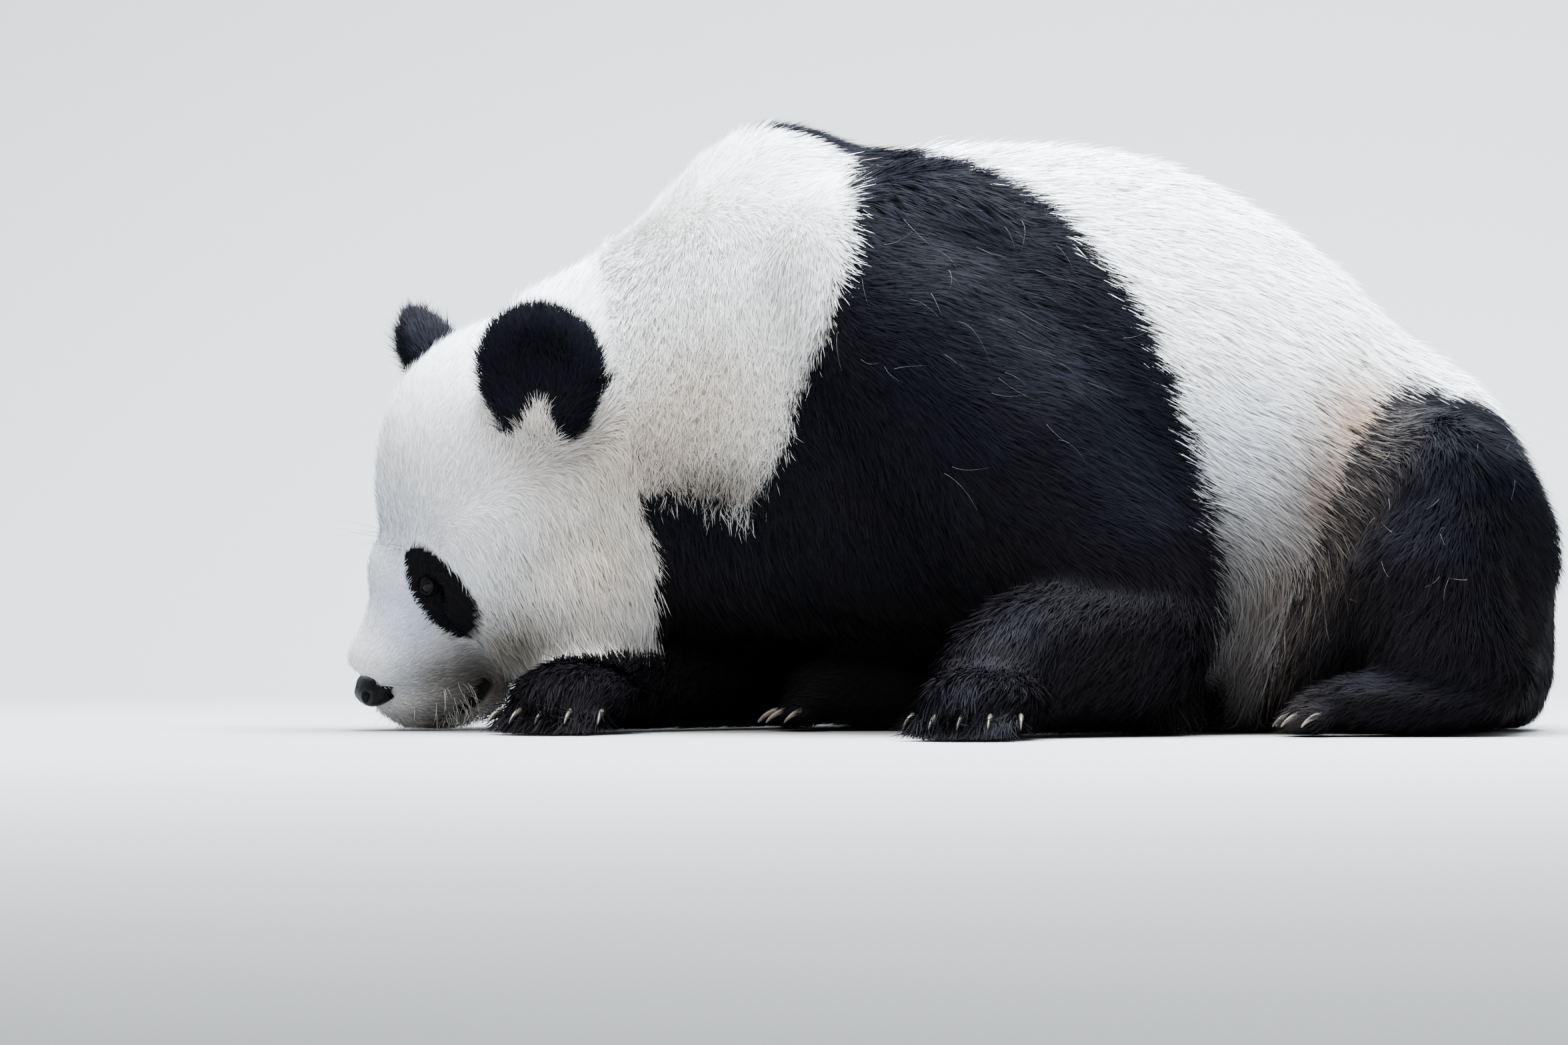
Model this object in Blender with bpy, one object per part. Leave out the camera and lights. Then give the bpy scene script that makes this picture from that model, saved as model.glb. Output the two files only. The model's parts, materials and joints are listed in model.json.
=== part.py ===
"""A giant panda crouched low, its head lowered over one foreleg: a still, life-size model.

Metres, +Z up, the floor at z = 0. The panda faces -X and its left side is toward -Y. The body
is grown whole from a lofted trunk and muscle masses, then parted with thin plane cuts.
"""

import math

import bmesh
import bpy
from mathutils import Euler, Matrix, Vector
from mathutils.bvhtree import BVHTree

# Thin cut between two pieces that touch.
GAP = 0.0003
# Faces this near to flat are one face.
FLAT_ANGLE = math.radians(0.15)
# From the panda's own middle to the middle of its box, on the floor.
ROW_SHIFT = (-0.0035, 0.1139, 0.0)
# Grid of the grown body, and how much it is smoothed.
BODY_VOXEL = 0.0085
HEAD_VOXEL = 0.0050
SMOOTH_STEPS = 14
HEAD_OVERRUN = 0.012  # head and trunk pass their cut by this until their triangles are set
# Triangles left in each grown form.
BODY_TRIANGLES = 1500
HEAD_TRIANGLES = 1120
FORELEG_TRIANGLES = 250
HINDLEG_TRIANGLES = 240
EAR_TRIANGLES = 120
NOSE_TRIANGLES = 150
TAIL_TRIANGLES = 120

# Trunk: station along X, height of the back, height of the belly, half width.
TRUNK = (
    # x, back, belly, half width
    (-0.480, 0.360, 0.200, 0.105),  # inside the head
    (-0.425, 0.419, 0.165, 0.135),  # nape
    (-0.365, 0.453, 0.140, 0.155),
    (-0.302, 0.499, 0.118, 0.172),  # neck
    (-0.245, 0.558, 0.105, 0.186),
    (-0.190, 0.591, 0.098, 0.200),  # withers
    (-0.134, 0.585, 0.092, 0.214),
    (-0.095, 0.570, 0.088, 0.224),
    (-0.010, 0.571, 0.080, 0.240),  # chest
    (0.065, 0.573, 0.068, 0.254),
    (0.142, 0.568, 0.045, 0.266),
    (0.218, 0.549, 0.020, 0.273),  # belly
    (0.295, 0.511, 0.004, 0.272),
    (0.372, 0.454, -0.002, 0.260),
    (0.432, 0.394, -0.003, 0.240),  # rump
    (0.509, 0.339, -0.003, 0.200),
    (0.550, 0.286, -0.002, 0.158),
    (0.575, 0.220, 0.016, 0.110),
    (0.586, 0.160, 0.050, 0.062),
)
TRUNK_WIDEST = 0.44  # where the section is widest, as a share of its height
TRUNK_UNDER = 0.78  # how full the under side of the section is: 1 is round
TRUNK_SEGMENTS = 48
TRUNK_STEPS = 96

# Head: its centre and its turn about the roll, pitch and yaw axes.
HEAD_AT = (-0.428, -0.020, 0.190)
HEAD_ROLL = math.radians(14)
HEAD_PITCH = math.radians(-34)
HEAD_YAW = math.radians(13)
# Masses of the head: forward, left and up from its centre, then the radii the same way.
HEAD_MASSES = (
    ((-0.048, 0.000, 0.050), (0.150, 0.142, 0.149)),  # cranium
    ((0.070, 0.000, 0.012), (0.084, 0.064, 0.064)),  # bridge
    ((0.128, 0.000, -0.046), (0.080, 0.056, 0.053)),  # muzzle
    ((0.158, 0.000, -0.034), (0.052, 0.050, 0.044)),  # end of the muzzle
    ((0.118, 0.000, -0.010), (0.062, 0.050, 0.044)),  # nose bridge
    ((0.108, 0.000, -0.088), (0.072, 0.047, 0.033)),  # chin
    ((-0.010, 0.000, -0.050), (0.112, 0.130, 0.104)),  # jaw and throat
)
HEAD_PAIRS = (
    ((-0.012, 0.080, -0.044), (0.110, 0.084, 0.118)),  # cheek
    ((0.030, 0.062, 0.006), (0.084, 0.072, 0.084)),  # cheekbone
    ((-0.020, 0.080, 0.020), (0.115, 0.072, 0.100)),  # temple
    ((0.060, 0.034, 0.050), (0.050, 0.038, 0.040)),  # brow
    ((0.150, 0.024, -0.070), (0.044, 0.028, 0.026)),  # upper lip
)
EYE_TOWARD = (0.096, 0.046, 0.026)  # a point of the head under the eye
EYE_LOOK = (0.70, 0.70, 0.06)  # the way the eye faces
EYE_RADIUS = 0.0115
ORBIT_RADIUS = 0.022
ORBIT_DEPTH = 0.0065
EYE_DEPTH = 0.0025  # front of the eye below the face
EYE_SEGMENTS = 10
EYE_RINGS = 7
NOSE_AT = (0.199, 0.000, -0.040)
NOSE_RADII = (0.014, 0.027, 0.016)
MOUTH_UP = -0.084
MOUTH_BACK = 0.086
# Ears: centre, the way from root to tip, and the way the cup faces.
LEFT_EAR = ((-0.397, -0.176, 0.346), (0.02, -0.22, 0.97), (-0.20, -0.94, -0.22))
RIGHT_EAR = ((-0.502, 0.084, 0.350), (-0.38, 0.26, 0.88), (-0.88, 0.24, -0.42))
EAR_RADII = (0.062, 0.021, 0.064)  # across, through and along
EAR_ROOT_RADII = (0.046, 0.024, 0.040)
EAR_ROOT_DOWN = 0.042
EAR_CUP_RADII = (0.040, 0.018, 0.044)
EAR_CUP_OUT = 0.024

# Muscle masses that blend into the trunk: centre, radii, turn in degrees about X, Y and Z.
BODY_MASSES = (
    ((-0.175, 0.000, 0.430), (0.120, 0.120, 0.160), (0, 20, 0)),  # withers
    ((-0.150, 0.000, 0.220), (0.140, 0.150, 0.130), (0, 0, 0)),  # brisket
    ((-0.030, -0.118, 0.420), (0.135, 0.100, 0.130), (0, 24, 0)),  # left shoulder blade
    ((-0.060, 0.118, 0.420), (0.125, 0.100, 0.130), (0, 24, 0)),  # right shoulder blade
    ((0.462, -0.170, 0.130), (0.106, 0.112, 0.140), (0, 0, 0)),  # left haunch
    ((0.390, -0.155, 0.170), (0.150, 0.122, 0.165), (0, 0, 0)),
    ((0.430, 0.180, 0.150), (0.128, 0.118, 0.158), (0, 0, 0)),  # right haunch
    ((0.380, 0.160, 0.190), (0.150, 0.115, 0.160), (0, 0, 0)),
)
# Limbs that blend into the trunk: centre line and radius.
LEFT_ARM = (
    ((-0.095, -0.125, 0.430), 0.105),
    ((-0.030, -0.165, 0.350), 0.128),
    ((0.060, -0.200, 0.260), 0.128),
    ((0.130, -0.225, 0.170), 0.112),
    ((0.163, -0.240, 0.105), 0.090),
)
RIGHT_ARM = (
    ((-0.100, 0.120, 0.420), 0.105),
    ((-0.070, 0.165, 0.330), 0.122),
    ((-0.045, 0.195, 0.240), 0.112),
    ((-0.020, 0.215, 0.150), 0.096),
    ((-0.005, 0.220, 0.100), 0.086),
)
LEFT_THIGH = (
    ((0.478, -0.140, 0.170), 0.106),
    ((0.466, -0.182, 0.205), 0.098),
    ((0.455, -0.208, 0.220), 0.092),
)
RIGHT_THIGH = (
    ((0.450, 0.160, 0.160), 0.120),
    ((0.360, 0.200, 0.160), 0.110),
    ((0.275, 0.225, 0.140), 0.096),
)
# Lower limbs, each a form of its own: centre line and radius, then the foot.
LEFT_FOREARM = (
    ((0.160, -0.262, 0.094), 0.088),
    ((0.105, -0.300, 0.084), 0.080),
    ((0.055, -0.345, 0.070), 0.066),
    ((0.028, -0.385, 0.058), 0.058),
)
RIGHT_FOREARM = (
    ((-0.010, 0.225, 0.088), 0.082),
    ((-0.090, 0.150, 0.072), 0.070),
    ((-0.190, 0.055, 0.056), 0.058),
    ((-0.285, -0.045, 0.050), 0.050),
    ((-0.335, -0.110, 0.047), 0.047),
)
LEFT_SHANK = (
    ((0.458, -0.228, 0.208), 0.076),
    ((0.446, -0.254, 0.150), 0.080),
    ((0.458, -0.266, 0.095), 0.076),
    ((0.492, -0.268, 0.060), 0.056),
)
RIGHT_SHANK = (
    ((0.265, 0.232, 0.125), 0.084),
    ((0.180, 0.180, 0.090), 0.074),
    ((0.090, 0.070, 0.066), 0.058),
    ((0.030, 0.005, 0.056), 0.050),
)

# Feet: centre, radii, turn in degrees about Z. The toes point along -X before the turn.
LEFT_FORE_PAW = ((0.022, -0.438, 0.040), (0.084, 0.064, 0.040), 74)
RIGHT_FORE_PAW = ((-0.360, -0.180, 0.040), (0.084, 0.066, 0.040), 66)
LEFT_HIND_FOOT = ((0.425, -0.296, 0.032), (0.108, 0.050, 0.034), 3)
RIGHT_HIND_FOOT = ((-0.075, -0.050, 0.044), (0.092, 0.040, 0.046), 10)
TOE_COUNT = 5
TOE_RADIUS = 0.017
TOE_SPREAD = 0.78  # of the foot's half width

CLAW_LENGTH = 0.030
CLAW_RADIUS = 0.0052
CLAW_BEND = math.radians(62)
CLAW_RINGS = 4
CLAW_SIDES = 5

TAIL_AT = (0.566, 0.015, 0.098)
TAIL_RADII = (0.028, 0.042, 0.070)

# Planes that part the body: a point, and the way the named piece lies from it.
HEAD_PLANE = ((-0.290, 0.0, 0.150), (-0.983, 0.0, -0.180))
NECK_PLANE = ((-0.130, 0.0, 0.385), (-0.972, 0.0, 0.235))
THROAT_PLANE = ((-0.230, 0.0, 0.205), (0.05, 0.0, 1.0))
BAND_PLANE = ((0.150, 0.0, 0.360), (-0.843, 0.0, -0.537))
RUMP_PLANE = ((0.330, 0.0, 0.250), (1.0, 0.0, 0.10))
ARM_INNER = ((-0.050, 0.158, 0.300), (0.0, 1.0, -0.10))
ARM_TOP = ((0.0, 0.0, 0.500), (0.0, 0.0, -1.0))
ARM_BACK = ((0.262, 0.0, 0.100), (-1.0, 0.0, 0.0))
THIGH_INNER = ((0.450, 0.150, 0.200), (0.0, 1.0, -0.12))
THIGH_TOP = ((0.450, 0.0, 0.312), (0.25, 0.0, -0.97))
LEFT_THIGH_FRONT = ((0.380, 0.0, 0.170), (0.908, 0.0, -0.418))
RIGHT_THIGH_FRONT = ((0.263, 0.0, 0.100), (1.0, 0.0, 0.0))

BLACK = (0.012, 0.011, 0.013)
WHITE = (0.80, 0.78, 0.73)
PAD_BLACK = (0.020, 0.018, 0.020)
EYE_BROWN = (0.020, 0.009, 0.005)
CLAW_HORN = (0.42, 0.36, 0.27)


# Materials


def surface(name, colour, roughness):
    material = bpy.data.materials.new(name)
    material.use_nodes = True
    shader = material.node_tree.nodes["Principled BSDF"]
    shader.inputs["Base Color"].default_value = (*colour, 1.0)
    shader.inputs["Roughness"].default_value = roughness
    return material


# Making and joining forms


def clear_scene():
    for thing in list(bpy.data.objects):
        bpy.data.objects.remove(thing)


def object_from(name, bm):
    mesh = bpy.data.meshes.new(name)
    bm.to_mesh(mesh)
    bm.free()
    made = bpy.data.objects.new(name, mesh)
    bpy.context.scene.collection.objects.link(made)
    return made


def remove(*things):
    for thing in things:
        bpy.data.objects.remove(thing)


def settle(thing):
    """Applies the modifiers of an object."""
    bpy.context.view_layer.update()
    graph = bpy.context.evaluated_depsgraph_get()
    mesh = bpy.data.meshes.new_from_object(thing.evaluated_get(graph))
    thing.modifiers.clear()
    thing.data = mesh


def add_ball(bm, centre, radii, turn=(0, 0, 0), placed=None, detail=4):
    made = bmesh.ops.create_icosphere(bm, subdivisions=detail, radius=1.0)
    angles = Euler([math.radians(angle) for angle in turn])
    matrix = Matrix.LocRotScale(Vector(centre), angles, Vector(radii))
    if placed is not None:
        matrix = placed @ matrix
    bmesh.ops.transform(bm, matrix=matrix, verts=made["verts"])


def add_limb(bm, line):
    """Balls set close along a bent line, so that the grown form is a smooth tapered limb."""
    for (start, start_radius), (end, end_radius) in zip(line, line[1:]):
        start, end = Vector(start), Vector(end)
        steps = max(2, math.ceil((end - start).length / (0.22 * min(start_radius, end_radius))))
        for step in range(steps + 1):
            share = step / steps
            radius = start_radius + (end_radius - start_radius) * share
            add_ball(bm, start.lerp(end, share), (radius,) * 3, detail=3)


def blend(table, value):
    """Row of a table at a value of its first column, by a smooth curve through the rows."""
    last = len(table) - 1
    index = 0
    while index < last - 1 and value > table[index + 1][0]:
        index += 1
    rows = [table[max(0, min(last, index + shift))] for shift in (-1, 0, 1, 2)]
    span = rows[2][0] - rows[1][0]
    share = min(1.0, max(0.0, (value - rows[1][0]) / span))
    result = []
    for column in range(1, len(table[0])):
        before, start, end, after = (row[column] for row in rows)
        rise_in = (end - before) / max(1e-6, rows[2][0] - rows[0][0]) * span
        rise_out = (after - start) / max(1e-6, rows[3][0] - rows[1][0]) * span
        cube, square = share**3, share**2
        result.append(
            start * (2 * cube - 3 * square + 1)
            + rise_in * (cube - 2 * square + share)
            + end * (3 * square - 2 * cube)
            + rise_out * (cube - square)
        )
    return result


def add_trunk(bm):
    """Upright rings from inside the head to the rump, bridged and closed at both ends."""
    first, last = TRUNK[0][0], TRUNK[-1][0]
    rings = []
    for step in range(TRUNK_STEPS + 1):
        along = first + (last - first) * step / TRUNK_STEPS
        back, belly, half = blend(TRUNK, along)
        middle = belly + (back - belly) * TRUNK_WIDEST
        ring = []
        for side in range(TRUNK_SEGMENTS):
            angle = 2 * math.pi * side / TRUNK_SEGMENTS
            out, lift = math.sin(angle), math.cos(angle)
            height = middle + (back - middle) * lift
            if lift < 0:
                out = math.copysign(abs(out) ** TRUNK_UNDER, out)
                height = middle - (middle - belly) * abs(lift) ** TRUNK_UNDER
            ring.append(bm.verts.new((along, half * out, height)))
        rings.append(ring)
    for near, far in zip(rings, rings[1:]):
        for side in range(TRUNK_SEGMENTS):
            following = (side + 1) % TRUNK_SEGMENTS
            bm.faces.new((near[side], near[following], far[following], far[side]))
    bm.faces.new(rings[0][::-1])
    bm.faces.new(rings[-1])


def head_place():
    """Matrix from the head's own axes (forward -X, left -Y, up +Z) to the world."""
    turn = (
        Matrix.Rotation(HEAD_YAW, 4, "Z")
        @ Matrix.Rotation(HEAD_PITCH, 4, "Y")
        @ Matrix.Rotation(HEAD_ROLL, 4, "X")
    )
    return Matrix.Translation(HEAD_AT) @ turn


def in_head(point, side=1):
    """Forward, left and up sizes as a point of the head's own axes."""
    forward, left, up = point
    return Vector((-forward, -left * side, up))


def grown(bm, name, voxel, steps, triangles, widen=0.0):
    """Joins overlapping closed forms into one smooth body with few triangles."""
    body = object_from(name, bm)
    remesh = body.modifiers.new("grow", "REMESH")
    remesh.mode = "VOXEL"
    remesh.voxel_size = voxel
    smooth = body.modifiers.new("smooth", "SMOOTH")
    smooth.factor = 0.5
    smooth.iterations = steps
    if widen:
        swell = body.modifiers.new("swell", "DISPLACE")
        swell.mid_level = 0.0
        swell.strength = widen
    settle(body)
    if triangles:
        thin_out(body, triangles)
    return body


def thin_out(thing, triangles):
    """Takes triangles away, most where the form is flat."""
    count = sum(len(face.vertices) - 2 for face in thing.data.polygons)
    thin = thing.modifiers.new("thin", "DECIMATE")
    thin.ratio = min(1.0, triangles / count)
    settle(thing)


def swollen(thing, distance):
    """A helper copy of an object, pushed outward all round."""
    copy = thing.copy()
    copy.data = thing.data.copy()
    bpy.context.scene.collection.objects.link(copy)
    push = copy.modifiers.new("push", "DISPLACE")
    push.mid_level = 0.0
    push.strength = distance
    settle(copy)
    return copy


def join_cut(thing, tool, operation):
    change = thing.modifiers.new("cut", "BOOLEAN")
    change.operation = operation
    change.solver = "EXACT"
    change.object = tool
    settle(thing)


def keep_largest(thing):
    """Drops slivers that a cut leaves apart from the main body."""
    bm = bmesh.new()
    bm.from_mesh(thing.data)
    bmesh.ops.remove_doubles(bm, verts=bm.verts, dist=0.00002)
    bmesh.ops.triangulate(bm, faces=bm.faces)
    left = set(bm.verts)
    groups = []
    while left:
        reached = [left.pop()]
        group = set(reached)
        while reached:
            for edge in reached.pop().link_edges:
                for vert in edge.verts:
                    if vert in left:
                        left.discard(vert)
                        group.add(vert)
                        reached.append(vert)
        groups.append(group)
    groups.sort(key=len)
    spare = [vert for group in groups[:-1] for vert in group]
    bmesh.ops.delete(bm, geom=spare, context="VERTS")
    bmesh.ops.dissolve_limit(bm, angle_limit=FLAT_ANGLE, verts=bm.verts, edges=bm.edges)
    bmesh.ops.triangulate(bm, faces=bm.faces)
    bmesh.ops.dissolve_degenerate(bm, dist=0.00001, edges=bm.edges)
    open_edges = [edge for edge in bm.edges if len(edge.link_faces) == 1]
    if open_edges:
        bmesh.ops.holes_fill(bm, edges=open_edges, sides=8)
        bmesh.ops.triangulate(bm, faces=bm.faces)
    bm.to_mesh(thing.data)
    bm.free()


def cell(planes, shift):
    """A convex helper block on the named side of every plane, moved in by shift."""
    bm = bmesh.new()
    bmesh.ops.create_cube(bm, size=4.0)
    for point, toward in planes:
        normal = Vector(toward).normalized()
        found = bmesh.ops.bisect_plane(
            bm,
            geom=bm.verts[:] + bm.edges[:] + bm.faces[:],
            plane_co=Vector(point) + normal * shift,
            plane_no=normal,
            clear_inner=True,
        )
        rim = [item for item in found["geom_cut"] if isinstance(item, bmesh.types.BMEdge)]
        bmesh.ops.edgeloop_fill(bm, edges=rim)
    bmesh.ops.recalc_face_normals(bm, faces=bm.faces)
    return object_from("cell", bm)


def mirrored(plane):
    (x, y, z), (right, back, up) = plane
    return ((x, -y, z), (right, -back, up))


def split_off(rest, name, planes):
    """Takes the piece inside a cell out of rest, leaving a thin gap."""
    piece = rest.copy()
    piece.data = rest.data.copy()
    piece.name = name
    bpy.context.scene.collection.objects.link(piece)
    inside, outside = cell(planes, GAP / 2), cell(planes, -GAP / 2)
    join_cut(piece, inside, "INTERSECT")
    join_cut(rest, outside, "DIFFERENCE")
    remove(inside, outside)
    keep_largest(piece)
    keep_largest(rest)
    return piece


def cut_from(thing, *tools):
    for tool in tools:
        swell = swollen(tool, GAP)
        join_cut(thing, swell, "DIFFERENCE")
        remove(swell)
    keep_largest(thing)


def stand_on_floor(thing):
    floor = cell([((0, 0, 0), (0, 0, 1))], 0.0)
    join_cut(thing, floor, "INTERSECT")
    remove(floor)
    keep_largest(thing)


# The forms


def grow_body():
    """Trunk, neck, head, upper arms and thighs as one smooth body."""
    bm = bmesh.new()
    add_trunk(bm)
    for centre, radii, turn in BODY_MASSES:
        add_ball(bm, centre, radii, turn)
    for line in (LEFT_ARM, RIGHT_ARM, LEFT_THIGH, RIGHT_THIGH):
        add_limb(bm, line)
    frame = grown(bm, "frame", BODY_VOXEL, SMOOTH_STEPS, 0, 0.0012)
    bm = bmesh.new()
    bm.from_mesh(frame.data)
    remove(frame)
    add_head(bm)
    body = grown(bm, "body", HEAD_VOXEL, 5, 0, 0.0006)
    spots = [eye_spot(body, side) for side in (1, -1)]
    for surface_spot, outward in spots:
        bm = bmesh.new()
        add_ball(bm, surface_spot + outward * (ORBIT_RADIUS - ORBIT_DEPTH), (ORBIT_RADIUS,) * 3)
        hollow = object_from("orbit", bm)
        join_cut(body, hollow, "DIFFERENCE")
        remove(hollow)
    head = body.copy()
    head.data = body.data.copy()
    head.name = "head"
    bpy.context.scene.collection.objects.link(head)
    behind = (HEAD_PLANE[0], tuple(-Vector(HEAD_PLANE[1])))
    sides = ((head, HEAD_PLANE, HEAD_TRIANGLES), (body, behind, BODY_TRIANGLES))
    for piece, plane, triangles in sides:
        keep_side(piece, plane, -HEAD_OVERRUN)
        thin_out(piece, triangles)
        keep_side(piece, plane, GAP / 2)
    return body, head, spots


def keep_side(thing, plane, shift):
    block = cell([plane], shift)
    join_cut(thing, block, "INTERSECT")
    remove(block)
    keep_largest(thing)


def eye_spot(body, side):
    """Where the face lies over the eye, and the way the eye faces."""
    placed = head_place()
    outward = (placed.to_3x3() @ in_head(EYE_LOOK, side)).normalized()
    start = placed @ in_head(EYE_TOWARD, side) + outward * 0.2
    corners = [vert.co for vert in body.data.vertices]
    faces = [tuple(face.vertices) for face in body.data.polygons]
    spot = BVHTree.FromPolygons(corners, faces).ray_cast(start, -outward)[0]
    return spot, outward


def add_head(bm):
    placed = head_place()
    for centre, radii in HEAD_MASSES:
        add_ball(bm, in_head(centre), radii, placed=placed)
    for centre, radii in HEAD_PAIRS:
        for side in (1, -1):
            add_ball(bm, in_head(centre, side), radii, placed=placed)


def make_ear(name, ear):
    """A rounded, slightly cupped disc that stands out from the crown."""
    centre, along, facing = ear
    along = Vector(along).normalized()
    facing = Vector(facing)
    facing = (facing - along * facing.dot(along)).normalized()
    across = facing.cross(along)
    turn = Matrix((across, facing, along)).transposed().to_4x4()
    matrix = Matrix.Translation(centre) @ turn
    bm = bmesh.new()
    add_ball(bm, (0, 0, 0), EAR_RADII, placed=matrix)
    add_ball(bm, (0, 0, -EAR_ROOT_DOWN), EAR_ROOT_RADII, placed=matrix)
    ear = grown(bm, name, 0.004, 3, 0)
    bm = bmesh.new()
    add_ball(bm, (0, EAR_CUP_OUT, -0.004), EAR_CUP_RADII, placed=matrix)
    cup = object_from("cup", bm)
    join_cut(ear, cup, "DIFFERENCE")
    remove(cup)
    thin_out(ear, EAR_TRIANGLES)
    return ear


def make_eye(name, spot):
    surface_spot, outward = spot
    bm = bmesh.new()
    centre = surface_spot - outward * (EYE_RADIUS + EYE_DEPTH)
    placed = Matrix.Translation(centre) @ outward.to_track_quat("Z", "Y").to_matrix().to_4x4()
    bmesh.ops.create_uvsphere(
        bm, u_segments=EYE_SEGMENTS, v_segments=EYE_RINGS, radius=EYE_RADIUS, matrix=placed
    )
    return object_from(name, bm)


def make_nose():
    bm = bmesh.new()
    placed = head_place()
    add_ball(bm, in_head(NOSE_AT), NOSE_RADII, placed=placed, detail=3)
    for side in (1, -1):
        centre = (NOSE_AT[0] - 0.003, 0.017, NOSE_AT[2] + 0.001)
        add_ball(bm, in_head(centre, side), (0.011, 0.013, 0.012), placed=placed, detail=3)
    return grown(bm, "nose", 0.0016, 3, NOSE_TRIANGLES)


def make_tail():
    bm = bmesh.new()
    add_ball(bm, TAIL_AT, TAIL_RADII, (0, 12, 0), detail=4)
    return grown(bm, "tail", 0.005, 2, TAIL_TRIANGLES)


def toe_places(foot):
    """Root and heading of each toe of a foot, fanned across its front."""
    (x, y, z), (long, half, high), turn = foot
    placed = Matrix.Translation((x, y, 0)) @ Matrix.Rotation(math.radians(turn), 4, "Z")
    places = []
    for toe in range(TOE_COUNT):
        share = 2 * toe / (TOE_COUNT - 1) - 1
        forward = -long * (0.98 - 0.20 * share**2)
        spot = placed @ Vector((forward, half * TOE_SPREAD * share, TOE_RADIUS * 0.95))
        places.append((spot, math.radians(turn) + share * math.radians(-14)))
    return places


def add_foot(bm, foot):
    centre, radii, turn = foot
    add_ball(bm, centre, radii, (0, 0, turn))
    for spot, _ in toe_places(foot):
        add_ball(bm, spot, (TOE_RADIUS,) * 3, detail=3)


def make_lower_limb(name, line, foot, triangles):
    bm = bmesh.new()
    add_limb(bm, line)
    add_foot(bm, foot)
    return grown(bm, name, 0.006, 4, triangles, 0.0008)


def make_claw(name, spot, heading):
    """A tapered hook along an arc that leaves the toe forward and turns down to the floor."""
    radius = CLAW_LENGTH / CLAW_BEND
    bm = bmesh.new()
    rings = []
    for step in range(CLAW_RINGS):
        share = step / CLAW_RINGS
        bend = CLAW_BEND * share
        centre = Vector((-radius * math.sin(bend), 0, -radius * (1 - math.cos(bend))))
        normal = Vector((math.sin(bend), 0, -math.cos(bend))) * -1
        size = CLAW_RADIUS * (1 - share) ** 0.8
        ring = []
        for side in range(CLAW_SIDES):
            angle = 2 * math.pi * side / CLAW_SIDES
            offset = Vector((0, 0.72 * size * math.sin(angle), 0)) + normal * size * math.cos(angle)
            ring.append(bm.verts.new(centre + offset))
        rings.append(ring)
    for near, far in zip(rings, rings[1:]):
        for side in range(CLAW_SIDES):
            following = (side + 1) % CLAW_SIDES
            bm.faces.new((near[side], near[following], far[following], far[side]))
    tip_at = Vector((-radius * math.sin(CLAW_BEND), 0, -radius * (1 - math.cos(CLAW_BEND))))
    tip = bm.verts.new(tip_at)
    for side in range(CLAW_SIDES):
        bm.faces.new((rings[-1][side], rings[-1][(side + 1) % CLAW_SIDES], tip))
    bm.faces.new(rings[0][::-1])
    bmesh.ops.recalc_face_normals(bm, faces=bm.faces)
    start = Vector((-0.004, 0, 0.004))
    matrix = Matrix.Translation(spot) @ Matrix.Rotation(heading, 4, "Z") @ Matrix.Translation(start)
    bmesh.ops.transform(bm, matrix=matrix, verts=bm.verts)
    return object_from(name, bm)


# Building and parting


def dress(things, material):
    for thing in things:
        thing.data.materials.clear()
        thing.data.materials.append(material)


def build_feet(body, head):
    """The four lower limbs, each parted at the wrist or ankle, with their claws."""
    limbs = (
        ("foreleg_left", LEFT_FOREARM, LEFT_FORE_PAW, FORELEG_TRIANGLES, 0.060, 0.200),
        ("foreleg_right", RIGHT_FOREARM, RIGHT_FORE_PAW, FORELEG_TRIANGLES, 0.060, 0.200),
        ("hindleg_left", LEFT_SHANK, LEFT_HIND_FOOT, HINDLEG_TRIANGLES, 0.120, 0.072),
        ("hindleg_right", RIGHT_SHANK, RIGHT_HIND_FOOT, HINDLEG_TRIANGLES, 0.075, 0.200),
    )
    lower, feet, claws = [], [], []
    for name, line, foot, triangles, back, high in limbs:
        foot_name = name.replace("foreleg", "forepaw").replace("hindleg", "hindfoot")
        limb = make_lower_limb(name, line, foot, triangles)
        stand_on_floor(limb)
        cut_from(limb, body, head)
        turn = math.radians(foot[2])
        toward = (-math.cos(turn), -math.sin(turn), 0.0)
        point = Vector(foot[0]) - Vector(toward) * back
        ceiling = ((0, 0, high), (0, 0, -1))
        paw = split_off(limb, foot_name, [(tuple(point), toward), ceiling])
        made = []
        for number, (spot, heading) in enumerate(toe_places(foot), 1):
            made.append(make_claw(f"claw_{foot_name}_{number}", spot, heading))
        for claw in made:
            stand_on_floor(claw)
        cut_from(paw, *made)
        lower.append(limb)
        feet.append(paw)
        claws += made
    return lower, feet, claws


def part_body(body):
    """Thin plane cuts: the upper limbs off the trunk, then the trunk from the head back."""
    pieces = {}
    behind_neck = (NECK_PLANE[0], tuple(-Vector(NECK_PLANE[1])))
    for side, suffix in ((-1, "left"), (1, "right")):
        flip = mirrored if side < 0 else tuple
        arm = [flip(ARM_INNER), BAND_PLANE, ARM_TOP, ARM_BACK, behind_neck]
        pieces[f"shoulder_{suffix}"] = split_off(body, f"shoulder_{suffix}", arm)
        front = LEFT_THIGH_FRONT if side < 0 else RIGHT_THIGH_FRONT
        thigh = [flip(THIGH_INNER), THIGH_TOP, front]
        pieces[f"thigh_{suffix}"] = split_off(body, f"thigh_{suffix}", thigh)
    pieces["neck"] = split_off(body, "neck", [NECK_PLANE, THROAT_PLANE])
    pieces["chest"] = split_off(body, "chest", [BAND_PLANE, ARM_BACK])
    pieces["rump"] = split_off(body, "rump", [RUMP_PLANE])
    body.name = "belly"
    pieces["belly"] = body
    return pieces


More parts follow.
